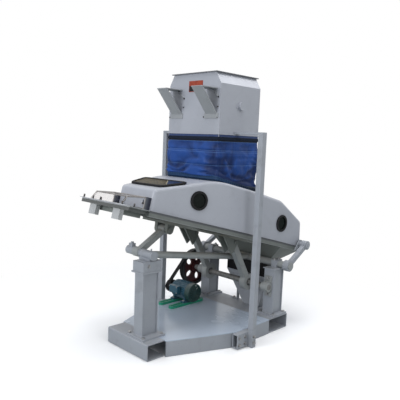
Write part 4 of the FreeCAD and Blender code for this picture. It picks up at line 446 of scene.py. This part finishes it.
def flat_ring(x0, x1, y0, y1, z):
    return [(x0, y0, z), (x1, y0, z), (x1, y1, z), (x0, y1, z), (x0, y0, z)]


spots, links = paths(flat_ring(-0.5815, -0.4485, -0.105, -0.017, 0.123),
                     flat_ring(0.473, 0.595, -0.3865, -0.2935, 0.123),
                     flat_ring(0.473, 0.595, 0.2935, 0.3865, 0.123))
grown("column_weld_beads", bead_on_path, spots, "base", "grey_paint", links=links,
      radius=0.0032, ripple=0.0016, step=0.004, finish=grey_enamel)

# Swing arms, rods, cross tube and tie pipe: steel tube and castings under a thinner, older
# coat, oily near the bushes.
arm_enamel = enamel("arm_enamel", (0.27, 0.285, 0.285), 0.38, 0.45)
dressed(arm_enamel, "stone_swing_arm", "tie_pipe", "connecting_rod_front", "connecting_rod_rear",
        "rice_cross_tube", "shaft_bearings")
dressed(grey_enamel, "rice_swing_arm_front", "rice_swing_arm_rear", "rice_pivot_brackets")
shaft_steel = Finish("shaft_steel", (0.17, 0.172, 0.17), 0.5, 0.3)
film = shaft_steel.noise(38.0, 4)
shaft_steel.paint(shaft_steel.mix(spread(film, 0.4, 0.7), (0.20, 0.20, 0.195),
                                  (0.12, 0.115, 0.11)))
shaft_steel.feed(shaft_steel.skin["Roughness"], 0.42 + film * 0.25)
dressed(shaft_steel.material, "eccentric_shaft")

# The sieve deck is tilted, so what it carries is placed along, across and over the deck.
deck_tilt = math.radians(14.5)
deck_z = 0.822


def on_deck(along, across, lift):
    """Point given by its place along, across and over the tilted deck."""
    return (along * math.cos(deck_tilt) + lift * math.sin(deck_tilt), across,
            deck_z - along * math.sin(deck_tilt) + lift * math.cos(deck_tilt))


def over_deck(x, z):
    """Height over the tilted deck, for a spot of a finish."""
    return x * math.sin(deck_tilt) + (z - deck_z) * math.cos(deck_tilt)


# Sieve body: rim channel, cross members and brackets under the hood, in a darker copy of the
# enamel: painted shade under the hood and sieve.
shaded_under_enamel = enamel("shaded_under_enamel", (0.15, 0.165, 0.155), 0.42, 0.45)
dressed(shaded_under_enamel, "sieve_cross_members", "discharge_funnel", "rod_brackets",
        "stone_pivot_bracket", "tray_under_box")
# The rim's dark colour is painted shade in its recessed channel.
rim_coat = Finish("rim_enamel", (0.17, 0.185, 0.18), 0.4)
rim_x, _, rim_z = rim_coat.axes()
over_rim = over_deck(rim_x, rim_z)
streak = spread(rim_coat.noise(17.0, 5, distortion=0.5), 0.45, 0.75) * 0.4
rim_streaks_and_shade = rim_coat.mix(streak, (0.125, 0.138, 0.132), (0.075, 0.083, 0.075))
# Painted shade: a darker band along the top of the rim, under the hood's edge. Painted highlight:
# a pale lower lip.
rim_streaks_and_shade = rim_coat.mix(spread(over_rim, -0.016, -0.009), rim_streaks_and_shade, (0.055, 0.06, 0.065))
rim_coat.paint(rim_coat.mix(spread(over_rim, -0.033, -0.0365), rim_streaks_and_shade, (0.20, 0.215, 0.215)))
rim_coat.bump(rim_coat.noise(420.0, 2), 0.0001)
dressed(rim_coat.material, "sieve_rim")
wire_pitch = 0.0035
screen = Finish("woven_screen", (0.33, 0.24, 0.10), 0.38, 0.85)
screen_x, screen_y, _ = screen.axes()
weave = (abs((screen_x * (math.pi / wire_pitch)).wave()) * 0.5
         + abs((screen_y * (math.pi / wire_pitch)).wave()) * 0.5)
screen.paint(screen.mix(weave, (0.05, 0.035, 0.015), (0.55, 0.40, 0.18)))
screen.bump(weave, 0.0006)
dressed(screen.material, "screen_deck")

# Hood and upper box: folded sheet in a paler, bluer copy of the same enamel, painted light for the
# brighter light and sky reflection on the upper parts.
lit_pale_enamel = enamel("lit_pale_enamel", (0.345, 0.362, 0.405), 0.3, 0.14)
dressed(lit_pale_enamel, "hood_shell", "suction_box", "damper_flap", "damper_shaft")
foot_line = [(-0.6165, -0.1735), (0.120, -0.381), (0.700, -0.381)]
foot_lift = 0.0035
hood_foot = [on_deck(u, side * y, foot_lift) for side in (1, -1) for u, y in foot_line]
grown("hood_foot_seam", bead_on_path, hood_foot, "sieve_body", "grey_paint",
      links=[(0, 1), (1, 2), (3, 4), (4, 5)], radius=0.0026, ripple=0.0006, step=0.01,
      finish=lit_pale_enamel)
flange_enamel = enamel("flange_enamel", (0.13, 0.135, 0.15), 0.42)
dressed(flange_enamel, "suction_box_flange")
# The strip brackets and their stays are in a darker copy of the enamel: painted shade on their
# down-facing struts.
shaded_bracket_enamel = enamel("shaded_bracket_enamel", (0.285, 0.30, 0.315), 0.4, 0.25)
dressed(shaded_bracket_enamel, "strip_brackets")
stay_spots, stay_links = paths([(-0.0845, 0.165, 1.784), (-0.0845, 0.103, 1.733)],
                               [(-0.0845, -0.187, 1.784), (-0.0845, -0.233, 1.736)])
grown("bracket_stays", bead_on_path, stay_spots, "base", "grey_paint", links=stay_links,
      radius=0.0042, ripple=0.0, step=0.02, finish=shaded_bracket_enamel)
bolts("box_screws", [((-0.081, y, z), (-1, 0, 0)) for y, z in (
    (0.099, 1.729), (-0.237, 1.732), (0.103, 1.667), (-0.237, 1.666), (-0.237, 1.593),
    (-0.106, 1.596), (0.247, 1.596))], "base", 0.008, 0.004, 0.002, dark_steel.material)

# Rubber: window frame, port rings, outlet sleeve and V-belts.
rubber = Finish("black_rubber", (0.009, 0.009, 0.010), 0.5)
rubber.skin["Specular IOR Level"].default_value = 0.18
rubber.bump(rubber.noise(300.0, 3), 0.0002)
rubber.feed(rubber.skin["Roughness"], 0.42 + rubber.noise(40.0, 3) * 0.2)
dressed(rubber.material, "sight_gaskets", "outlet_sleeve", "v_belts")

# Panes: tinted glass, clear enough on the roof to show the wire guard, nearly black in the
# round ports.
pane = Finish("tinted_pane", (0.004, 0.007, 0.006), 0.12)
pane.skin["Specular IOR Level"].default_value = 0.12
pane_up = abs(pane.axes(pane.node("ShaderNodeNewGeometry", output="Normal"))[2]).above(0.5)
pane.feed(pane.skin["Alpha"], 0.93 - pane_up * 0.70)
dressed(pane.material, "sight_panes")

# Roof window: glazing with brass coloured wire cloth pressed to its longer part, held all round by
# a round rubber moulding.
# On the rest, a painted reflection of the blue cloth sleeve in the glass: dark blue, with a pale
# painted edge.
roof_rise = math.atan(168 / 432)


def on_roof(along, across, lift):
    """Point on the slope of the roof, measured from its stone end edge."""
    u = -0.620 + along * math.cos(roof_rise) - lift * math.sin(roof_rise)
    w = 0.140 + along * math.sin(roof_rise) + lift * math.cos(roof_rise)
    return on_deck(u, across, w)


guard_spots, guard_faces = [], []


def roof_plate(along0, along1, edges0, edges1, low, high):
    """Thin plate on the slope between two heights, wider at its upper end."""
    start = len(guard_spots)
    for lift in (low, high):
        guard_spots.extend([on_roof(along0, edges0[0], lift), on_roof(along1, edges1[0], lift),
                            on_roof(along1, edges1[1], lift), on_roof(along0, edges0[1], lift)])
    guard_faces.extend([tuple(start + i for i in face) for face in (
        (0, 3, 2, 1), (4, 5, 6, 7), (0, 1, 5, 4), (1, 2, 6, 5), (2, 3, 7, 6), (3, 0, 4, 7))])


for edges_low, edges_high in (((-0.140, 0.140), (-0.202, 0.202)),
                              ((-0.157, -0.140), (-0.219, -0.202)),
                              ((0.140, 0.157), (0.202, 0.219))):
    roof_plate(0.070, 0.242, edges_low, edges_high, 0.0092, 0.0103)
guard_mesh = bpy.data.meshes.new("window_guard")
guard_mesh.from_pydata(guard_spots, [], guard_faces)
guard = bpy.data.objects.new("window_guard", guard_mesh)
bpy.context.collection.objects.link(guard)
wire_cloth = Finish("guard_wire_cloth", (0.30, 0.21, 0.08), 0.4, 0.3)
guard_x, guard_y, _ = wire_cloth.axes()
mesh_pitch = 0.011
strands = (abs((guard_x * (math.pi / mesh_pitch)).wave()).above(0.75)
           + abs((guard_y * (math.pi / mesh_pitch)).wave()).above(0.75)) * 0.5
straw = spread(wire_cloth.noise(62.0, 5, distortion=1.2), 0.50, 0.60)
cloth_tone = wire_cloth.mix(strands, (0.006, 0.008, 0.007), (0.045, 0.036, 0.016))
cloth_tone = wire_cloth.mix(straw, cloth_tone, (0.115, 0.082, 0.030))
# Painted reflection of the blue cloth in the glass, past a diagonal edge, with a pale painted edge
# along it.
reflection_edge_y = -0.060
past_reflection_edge = guard_y - reflection_edge_y - (guard_x + 0.355) * 0.98
cloth_tone = wire_cloth.mix(past_reflection_edge.below(0.010), cloth_tone, (0.30, 0.26, 0.17))
wire_cloth.paint(wire_cloth.mix(past_reflection_edge.below(0.0), cloth_tone, (0.016, 0.031, 0.078)))
wire_cloth.skin["Specular IOR Level"].default_value = 0.03
wire_cloth.bump(strands, 0.001)
guard_mesh.materials.append(wire_cloth.material)
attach(guard, "sieve_body")
frame_corners = [(0.067, -0.160), (0.245, -0.222), (0.245, 0.222), (0.067, 0.160)]
moulding = []
for number, (along, across) in enumerate(frame_corners):
    before = Vector(frame_corners[number - 1])
    after = Vector(frame_corners[(number + 1) % 4])
    here = Vector((along, across))
    start = here + (before - here).normalized() * 0.040
    end = here + (after - here).normalized() * 0.040
    for step in range(7):
        share = step / 6
        bent = start * (1 - share) ** 2 + here * 2 * share * (1 - share) + end * share ** 2
        moulding.append(tuple(on_roof(bent.x, bent.y, 0.0085)))
spots, links = paths(moulding + moulding[:1])
grown("window_moulding", bead_on_path, spots, "sieve_body", "black_rubber", links=links,
      radius=0.0078, ripple=0.0, step=0.006, finish=rubber.material)

# Stone tray: folded tray in enamel, with cheeks against the hood painted from grey to near black
# as painted shade, and a clear acrylic cover whose cut edges catch the light.
tray = Finish("tray_enamel", (0.27, 0.285, 0.29), 0.36)
tray_x, _, tray_z = tray.axes()
over_tray = over_deck(tray_x, tray_z)
along_tray = tray_x * math.cos(deck_tilt) - (tray_z - deck_z) * math.sin(deck_tilt)
tray_grime_and_shade = tray.mix(spread(tray.noise(14.0, 5), 0.5, 0.8) * 0.5, (0.28, 0.295, 0.30),
                     grime_colour)
# Painted shade: the tray is dark below the deck, in the channel under its edge.
tray_grime_and_shade = tray.mix(spread(over_tray, -0.006, -0.010), tray_grime_and_shade, (0.085, 0.092, 0.088))
# Painted shade: the cheeks darken from grey at their outer end to near black towards the hood.
shaded_cheek_tone = tray.mix(spread(along_tray, -0.668, -0.636), (0.12, 0.13, 0.15),
                      (0.008, 0.011, 0.028))
tray.paint(tray.mix(over_tray.above(0.001), tray_grime_and_shade, shaded_cheek_tone))
tray.bump(tray.noise(300.0, 2), 0.0001)
dressed(tray.material, "stone_tray")
spout_enamel = enamel("spout_enamel", (0.375, 0.385, 0.39), 0.36, 0.2)
dressed(spout_enamel, "stone_spouts")
dressed(lit_pale_enamel, "stone_gate")
bar_coat = Finish("end_bar_enamel", (0.38, 0.39, 0.41), 0.34)
bar_x, _, bar_z = bar_coat.axes()
over_bar = over_deck(bar_x, bar_z)
# Painted shade: the end bar is pale along its top and dark below, in the channel under its edge.
bar_coat.paint(bar_coat.mix(spread(over_bar, -0.007, -0.011), (0.40, 0.41, 0.43),
                            (0.075, 0.08, 0.078)))
bar_coat.bump(bar_coat.noise(380.0, 2), 0.0001)
dressed(bar_coat.material, "stone_end_bar")
stud_places = [(-0.857, -0.190), (-0.857, 0.036), (-0.857, 0.118), (-0.857, 0.222),
               (-0.755, -0.178), (-0.755, 0.178)]
off_deck = (math.sin(deck_tilt), 0, math.cos(deck_tilt))
studs = bolts("tray_studs", [(on_deck(u, y, 0.0005), off_deck) for u, y in stud_places],
              "sieve_body", 0.010, 0.018, 0.003, dark_steel.material)
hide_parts("tray_bolts")
gate_x, _, gate_z = on_deck(-0.6155, 0, 0.046)
down_deck = (-math.cos(deck_tilt), 0, math.sin(deck_tilt))
bolts("gate_bolts", [((gate_x - 0.0115, y, gate_z - 0.003), down_deck) for y in (-0.096, 0.096)],
      "sieve_body", 0.009, 0.004, 0.003, dark_steel.material)

acrylic = Finish("clear_acrylic", (0.66, 0.66, 0.68), 0.10)
acrylic_y = acrylic.axes()[1]
end_panel = acrylic_y.above(0.1595)
acrylic.paint(acrylic.mix(end_panel, (0.66, 0.68, 0.72), (0.78, 0.66, 0.62)))
acrylic.feed(acrylic.skin["Alpha"],
             0.006 + end_panel * 0.15 + spread(acrylic.noise(9.0, 4), 0.5, 0.8) * 0.012)
acrylic.skin["Specular IOR Level"].default_value = 0.3
dressed(acrylic.material, "clear_cover")
cover = nodes["clear_cover"].data
edge_spots = {}
edge_faces = {}
for face in cover.polygons:
    keys = [tuple(round(c, 5) for c in cover.vertices[v].co) for v in face.vertices]
    for key in keys:
        edge_spots.setdefault(key, len(edge_spots))
    for first, second in zip(keys, keys[1:] + keys[:1]):
        edge_faces.setdefault(tuple(sorted((edge_spots[first], edge_spots[second]))),
                              []).append(face.normal.copy())
cut_edges = [pair for pair, sides in edge_faces.items()
             if len(sides) == 2 and sides[0].dot(sides[1]) < 0.9]
cut_paths = [[list(edge_spots)[a], list(edge_spots)[b]] for a, b in cut_edges]
spots, links = paths(*cut_paths)
cut_edge = Finish("acrylic_cut_edge", (0.30, 0.28, 0.265), 0.2)
cut_edge.feed(cut_edge.skin["Roughness"], 0.15 + cut_edge.noise(50.0, 3) * 0.2)
grown("cover_edges", bead_on_path, spots, "sieve_body", "clear_plastic", links=links,
      radius=0.0021, ripple=0.0, step=0.05, finish=cut_edge.material)

# Motor: blue green enamel on cast fins, a pressed cowl with a wire grille over its slots, and
# bright green slide rails.
motor_enamel = enamel("motor_enamel", (0.016, 0.075, 0.115), 0.28, 0.25)
dressed(motor_enamel, "motor_frame")
cowl_enamel = enamel("cowl_enamel", (0.007, 0.036, 0.034), 0.36, 0.3)
dressed(cowl_enamel, "motor_fan_cowl")
rail_enamel = enamel("rail_enamel", (0.006, 0.24, 0.14), 0.3, 0.2)
dressed(rail_enamel, "motor_slide_rails")
cowl_low, cowl_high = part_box("motor_fan_cowl")
cowl_centre = (cowl_low + cowl_high) / 2


def grille_ring(radius, turns=40):
    ring = [(cowl_centre.x + radius * math.cos(2 * math.pi * i / turns), cowl_low.y - 0.0005,
             cowl_centre.z + radius * math.sin(2 * math.pi * i / turns)) for i in range(turns)]
    return ring + ring[:1]


spots, links = paths(*[grille_ring(0.022 + 0.0085 * i) for i in range(6)])
grown("cowl_grille", bead_on_path, spots, "base", "motor_paint", links=links,
      radius=0.0014, ripple=0.0, step=0.01, finish=cowl_enamel)

# Pulleys: cast iron, black at the rim and maroon between hub and rim.
pulley = Finish("pulley_enamel", (0.05, 0.012, 0.012), 0.4)
wheel_low, wheel_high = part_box("big_pulley")
wheel = (wheel_low + wheel_high) / 2
wheel_x, _, wheel_z = pulley.axes()
reach = ((wheel_x - wheel.x) ** 2.0 + (wheel_z - wheel.z) ** 2.0) ** 0.5
iron = pulley.mix(reach.above(0.133), (0.070, 0.012, 0.012), (0.014, 0.014, 0.015))
pulley.paint(pulley.mix(spread(pulley.noise(26.0, 5), 0.5, 0.75) * 0.6, iron,
                        (0.02, 0.014, 0.012)))
pulley.bump(pulley.noise(160.0, 3), 0.0004)
dressed(pulley.material, "big_pulley", "motor_pulley")

# Bare plate on the upper box: red enamel on its upper part, black below, with a worn red rim.
plate_low, plate_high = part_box("blank_plate")
plate = Finish("red_plate", (0.28, 0.045, 0.025), 0.45)
plate.skin["Specular IOR Level"].default_value = 0.2
_, plate_y, plate_z = plate.axes()
rim = 0.003
inside = (plate_y.above(plate_low.y + rim) * plate_y.below(plate_high.y - rim)
          * plate_z.above(plate_low.z + rim))
black = inside * plate_z.below(plate_high.z - 0.034)
red = plate.mix(spread(plate.noise(45.0, 4), 0.45, 0.7), (0.31, 0.055, 0.028),
                (0.22, 0.032, 0.018))
plate.paint(plate.mix(black, red, (0.008, 0.007, 0.008)))
dressed(plate.material, "blank_plate")

# Cloth sleeve between the upper box and the hood: slack tarpaulin sewn in lengths, hung from
# the box, gathered into a dark hem round the collar, with a webbing strap round its top.
cloth_low, cloth_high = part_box("cloth_sleeve")
# The collar is dark navy where it shows in the gap under the hem: painted shade, matched to the
# dark hem.
collar_black = Finish("collar_black", (0.009, 0.026, 0.065), 0.6)
collar_black.skin["Specular IOR Level"].default_value = 0.15
collar_black.bump(collar_black.noise(200.0, 2), 0.0002)
dressed(collar_black.material, "cloth_collar")
cell = 0.011
rows = 40
slack = 1.09
inset = 0.002
corner = 0.018
top_z = cloth_high.z
west, east = cloth_low.x, cloth_high.x
front, back = cloth_low.y, cloth_high.y


def sleeve_ring(out):
    """Points round the sleeve from its far corner, with rounded corners, one cell apart."""
    ring = []
    x0, x1, y0, y1 = west - out, east + out, front - out, back + out
    sides = (((x1, y1), (-1, 0), x1 - x0), ((x0, y1), (0, -1), y1 - y0),
             ((x0, y0), (1, 0), x1 - x0), ((x1, y0), (0, 1), y1 - y0))
    for (x, y), (dx, dy), length in sides:
        inward = (-dy, dx)
        centre = (x + (dx + inward[0]) * corner, y + (dy + inward[1]) * corner)
        for step in range(3):
            turn = math.atan2(-inward[1], -inward[0]) - math.pi / 2 + step / 3 * math.pi / 2
            ring.append((centre[0] + corner * math.cos(turn), centre[1] + corner * math.sin(turn)))
        count = round((length - 2 * corner) / cell)
        for step in range(count):
            along = corner + (length - 2 * corner) * step / count
            ring.append((x + dx * along, y + dy * along))
    return ring


def cloth_drop(x):
    """Length of the hung sleeve at x, down to its hem along the sloping hood."""
    return top_z - (cloth_low.z + (east - x) * math.tan(deck_tilt) + 0.0008)


ring = sleeve_ring(-inset)
count = len(ring)
girth = count * cell
cloth_mesh = bpy.data.meshes.new("cloth_sleeve_blue")
cloth_mesh.from_pydata(
    [(x, y, top_z - row / rows * cloth_drop(x) * slack)
     for row in range(rows + 1) for x, y in ring],
    [], [(row * count + i, (row + 1) * count + i, (row + 1) * count + (i + 1) % count,
          row * count + (i + 1) % count) for row in range(rows) for i in range(count)])
cloth = bpy.data.objects.new("cloth_sleeve_blue", cloth_mesh)
bpy.context.collection.objects.link(cloth)
cut_map = cloth_mesh.uv_layers.new(name="cut")
for face in cloth_mesh.polygons:
    last_column = face.index % count == count - 1
    for loop in face.loop_indices:
        vertex = cloth_mesh.loops[loop].vertex_index
        column = vertex % count
        turned = count if last_column and column == 0 else column
        cut_map.data[loop].uv = (
            turned * cell, vertex // count / rows * cloth_drop(ring[column][0]) * slack)
held = cloth.vertex_groups.new(name="held")
for row in range(rows + 1):
    grip = 1.0 if row < 5 or row > rows - 4 else 0.1 if row in (11, 20) else 0.0
    if grip:
        held.add([row * count + i for i in range(count)], grip, "REPLACE")

cloth.shape_key_add(name="hung")
drawn_up = cloth.shape_key_add(name="drawn_up")
for number, vertex in enumerate(cloth_mesh.vertices):
    sway = 0.004 * noise.noise(Vector(vertex.co) * 9.0)
    drawn_up.data[number].co = (vertex.co.x + sway, vertex.co.y + sway,
                                top_z - (top_z - vertex.co.z) / slack)
drawn_up.value = 0
drawn_up.keyframe_insert("value", frame=1)
drawn_up.value = 1
drawn_up.keyframe_insert("value", frame=20)
sim = cloth.modifiers.new("cloth", "CLOTH")
sim.settings.vertex_group_mass = "held"
sim.settings.quality = 6
sim.settings.mass = 0.25
sim.settings.tension_stiffness = 22
sim.settings.compression_stiffness = 22
sim.settings.shear_stiffness = 10
sim.settings.bending_stiffness = 0.3
sim.settings.air_damping = 2
sim.collision_settings.use_self_collision = True
sim.collision_settings.self_distance_min = 0.003
sim.point_cache.frame_start = 1
sim.point_cache.frame_end = 36
for moment in range(1, 37):
    bpy.context.scene.frame_set(moment)
finer = cloth.modifiers.new("finer", "SUBSURF")
finer.levels = finer.render_levels = 1
settled = bpy.data.meshes.new_from_object(
    cloth.evaluated_get(bpy.context.evaluated_depsgraph_get()))
cloth.modifiers.clear()
if cloth_mesh.shape_keys:
    cloth.shape_key_clear()
bpy.context.scene.frame_set(1)
cloth.data = settled
settled.name = "cloth_sleeve_folded"


def facet_sheet(seed, wide, deep, lift):
    """Crumpled sheet of flat facets over the cut cloth, to be read at any spot of it."""
    chance = random.Random(seed)
    turns = round(girth / wide)
    flat, heights = [], []
    for step in range(-1, int(0.60 / deep) + 2):
        for turn in range(turns):
            u = (turn + chance.uniform(0.1, 0.9)) * girth / turns
            v = (step + chance.uniform(0.1, 0.9)) * deep
            height = chance.uniform(-lift, lift)
            for lap in (-girth, 0, girth):
                flat.append(Vector((u + lap, v)))
                heights.append(height)
    placed, _, corners, sources, _, _ = delaunay_2d_cdt(flat, [], [], 0, 1e-6)
    return BVHTree.FromPolygons([(p.x, p.y, heights[sources[i][0]]) for i, p in enumerate(placed)],
                                corners)


def eased(value, low, high):
    share = min(1.0, max(0.0, (value - low) / (high - low)))
    return share * share * (3 - 2 * share)


broad, fine = facet_sheet(11, 0.11, 0.048, 0.0120), facet_sheet(23, 0.048, 0.026, 0.0026)
cut_spots = {}
for loop, at in zip(settled.loops, settled.uv_layers["cut"].data):
    cut_spots[loop.vertex_index] = tuple(at.uv)
downward = Vector((0, 0, -1))
sideways_limit = 0.004
# fold: how far each spot stands out of the cloth, for the painted shade in its creases.
fold_shade = settled.attributes.new("fold", "FLOAT", "POINT")
for vertex in settled.vertices:
    u, v = cut_spots[vertex.index]
    column = u / cell
    before, after = Vector(ring[int(column) % count]), Vector(ring[(int(column) + 1) % count])
    nominal = before.lerp(after, column % 1).to_3d()
    past = Vector(ring[(int(column) + 2) % count]) - Vector(ring[int(column) % count - 1])
    away = Vector((past.y, -past.x, 0)).normalized()
    left = cloth_drop(vertex.co.x) * slack - v
    low_part = eased(v, 0.10, 0.30)
    facet = (broad.ray_cast(Vector((u, v, 1)), downward)[0].z * (0.5 + 0.7 * low_part)
             + fine.ray_cast(Vector((u, v, 1)), downward)[0].z * (0.5 + 0.5 * low_part))
    drift = noise.noise(Vector((vertex.co.x * 4, vertex.co.y * 4, v * 7)))
    roll = abs(math.sin(math.pi * (v / 0.075 + 1.6 * drift)))
    sewn = sum(math.exp(-((v - seam) / 0.006) ** 2) for seam in (0.0515, 0.113, 0.217))
    push = (facet + (0.5 - roll) * (0.001 + 0.006 * low_part) - 0.003 * sewn) \
        * eased(v, 0.046, 0.070) * eased(left, 0.030, 0.060)
    push += 0.0016 * math.sin(2 * math.pi * u / 0.024 + 3 * drift) * (1 - eased(left, 0.012, 0.05))
    shift = Vector((vertex.co.x, vertex.co.y, 0)) - nominal
    lean = shift.dot(away)
    sideways = shift - away * lean
    free = eased(v, 0.05, 0.16) * eased(left, 0.005, 0.04)
    billow = (0.006 + 0.012 * eased(vertex.co.x, east - 0.06, east - 0.01)) * free
    collar_side = 0.001 - 0.017 * eased(left, 0.06, 0.11)
    wanted = min(max(lean * 0.5 + push + billow, collar_side), 0.012)
    excess = max(0.0, 1 - sideways_limit / max(sideways.length, 1e-6))
    vertex.co += away * (wanted - lean) - sideways * excess
    fold_shade.data[vertex.index].value = min(1.0, max(0.0, 0.5 + (lean * 0.5 + push) / 0.018))
for face in settled.polygons:
    face.use_smooth = True
settled.update()
thick = cloth.modifiers.new("thick", "SOLIDIFY")
thick.thickness = 0.0012
thick.offset = 0

tarpaulin = Finish("blue_tarpaulin", (0.014, 0.05, 0.21), 0.32)
round_way, down_way, _ = tarpaulin.axes(tarpaulin.node("ShaderNodeUVMap", {"uv_map": "cut"},
                                                       output="UV"))
cloth_x, _, _ = tarpaulin.axes()
to_hem = (top_z - cloth_low.z - east * math.tan(deck_tilt)) * slack \
    + cloth_x * (math.tan(deck_tilt) * slack) - down_way
# Painted shade and light: the blue darkens where the cloth is pushed in and lightens where it
# stands out, with some random tone.
fold_shade_share = tarpaulin.node("ShaderNodeAttribute", {"attribute_name": "fold"}, output="Fac")
crease_shade_and_tone = fold_shade_share * 0.75 + tarpaulin.noise(9.0, 4) * 0.25
blue = tarpaulin.mix(spread(crease_shade_and_tone, 0.22, 0.62), (0.004, 0.018, 0.085), (0.013, 0.058, 0.245))
blue = tarpaulin.mix(down_way.below(0.026), blue, (0.035, 0.058, 0.15))
blue = tarpaulin.mix(down_way.above(0.026) * down_way.below(0.050), blue, (0.004, 0.006, 0.014))
frayed = tarpaulin.noise(30.0, 3) * 0.02
hem_share = spread(cloth_x, 0.0, 0.33)
hem = tarpaulin.mix(hem_share, (0.014, 0.044, 0.11), (0.003, 0.009, 0.020))
blue = tarpaulin.mix((to_hem - frayed).below(0.020 + hem_share * 0.022), blue, hem)
seams = (abs(down_way - 0.0515).below(0.0016) + abs(down_way - 0.113).below(0.0013)
         + abs(down_way - 0.126).below(0.0013) + abs(down_way - 0.217).below(0.0016))
blue = tarpaulin.mix(seams * 0.55, blue, (0.09, 0.19, 0.42))
tarpaulin.paint(blue)
crease = abs(tarpaulin.noise(16.0, 6, distortion=1.6) - 0.5) * -1.0
fine_weave = (abs((round_way * 1800.0).wave()) + abs((down_way * 1800.0).wave())) * 0.02
tarpaulin.bump(crease + fine_weave - seams * 0.2, 0.002, 0.6)
tarpaulin.feed(tarpaulin.skin["Roughness"], 0.34 + tarpaulin.noise(20.0, 4) * 0.2)
tarpaulin.skin["Specular IOR Level"].default_value = 0.2
settled.materials.clear()
settled.materials.append(tarpaulin.material)
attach(cloth, "base")
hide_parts("cloth_sleeve")
sewn_length = sum(face.area for face in settled.polygons) / girth

strap_low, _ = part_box("cloth_strap")
band = sleeve_ring(0.0015)
band_rows = 5
band_high = 0.023
band_mesh = bpy.data.meshes.new("webbing_strap")
band_mesh.from_pydata(
    [(x, y, strap_low.z + 0.003 + step / band_rows * band_high
      + 0.0012 * noise.noise(Vector((x * 9, y * 9, 0))))
     for step in range(band_rows + 1) for x, y in band],
    [], [(row * len(band) + i, row * len(band) + (i + 1) % len(band),
          (row + 1) * len(band) + (i + 1) % len(band), (row + 1) * len(band) + i)
         for row in range(band_rows) for i in range(len(band))])
strap = bpy.data.objects.new("webbing_strap", band_mesh)
bpy.context.collection.objects.link(strap)
for face in band_mesh.polygons:
    face.use_smooth = True
web = strap.modifiers.new("web", "SOLIDIFY")
web.thickness = 0.002
web.offset = 0
webbing = Finish("black_webbing", (0.006, 0.008, 0.014), 0.7)
webbing.skin["Specular IOR Level"].default_value = 0.1
web_x, web_y, web_z = webbing.axes()
ribs = abs((web_z * 1400.0).wave()) * 0.6 + abs(((web_x + web_y) * 900.0).wave()) * 0.4
webbing.paint(webbing.mix(ribs, (0.004, 0.006, 0.012), (0.012, 0.018, 0.034)))
webbing.bump(ribs, 0.0005)
band_mesh.materials.append(webbing.material)
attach(strap, "base")
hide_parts("cloth_strap")
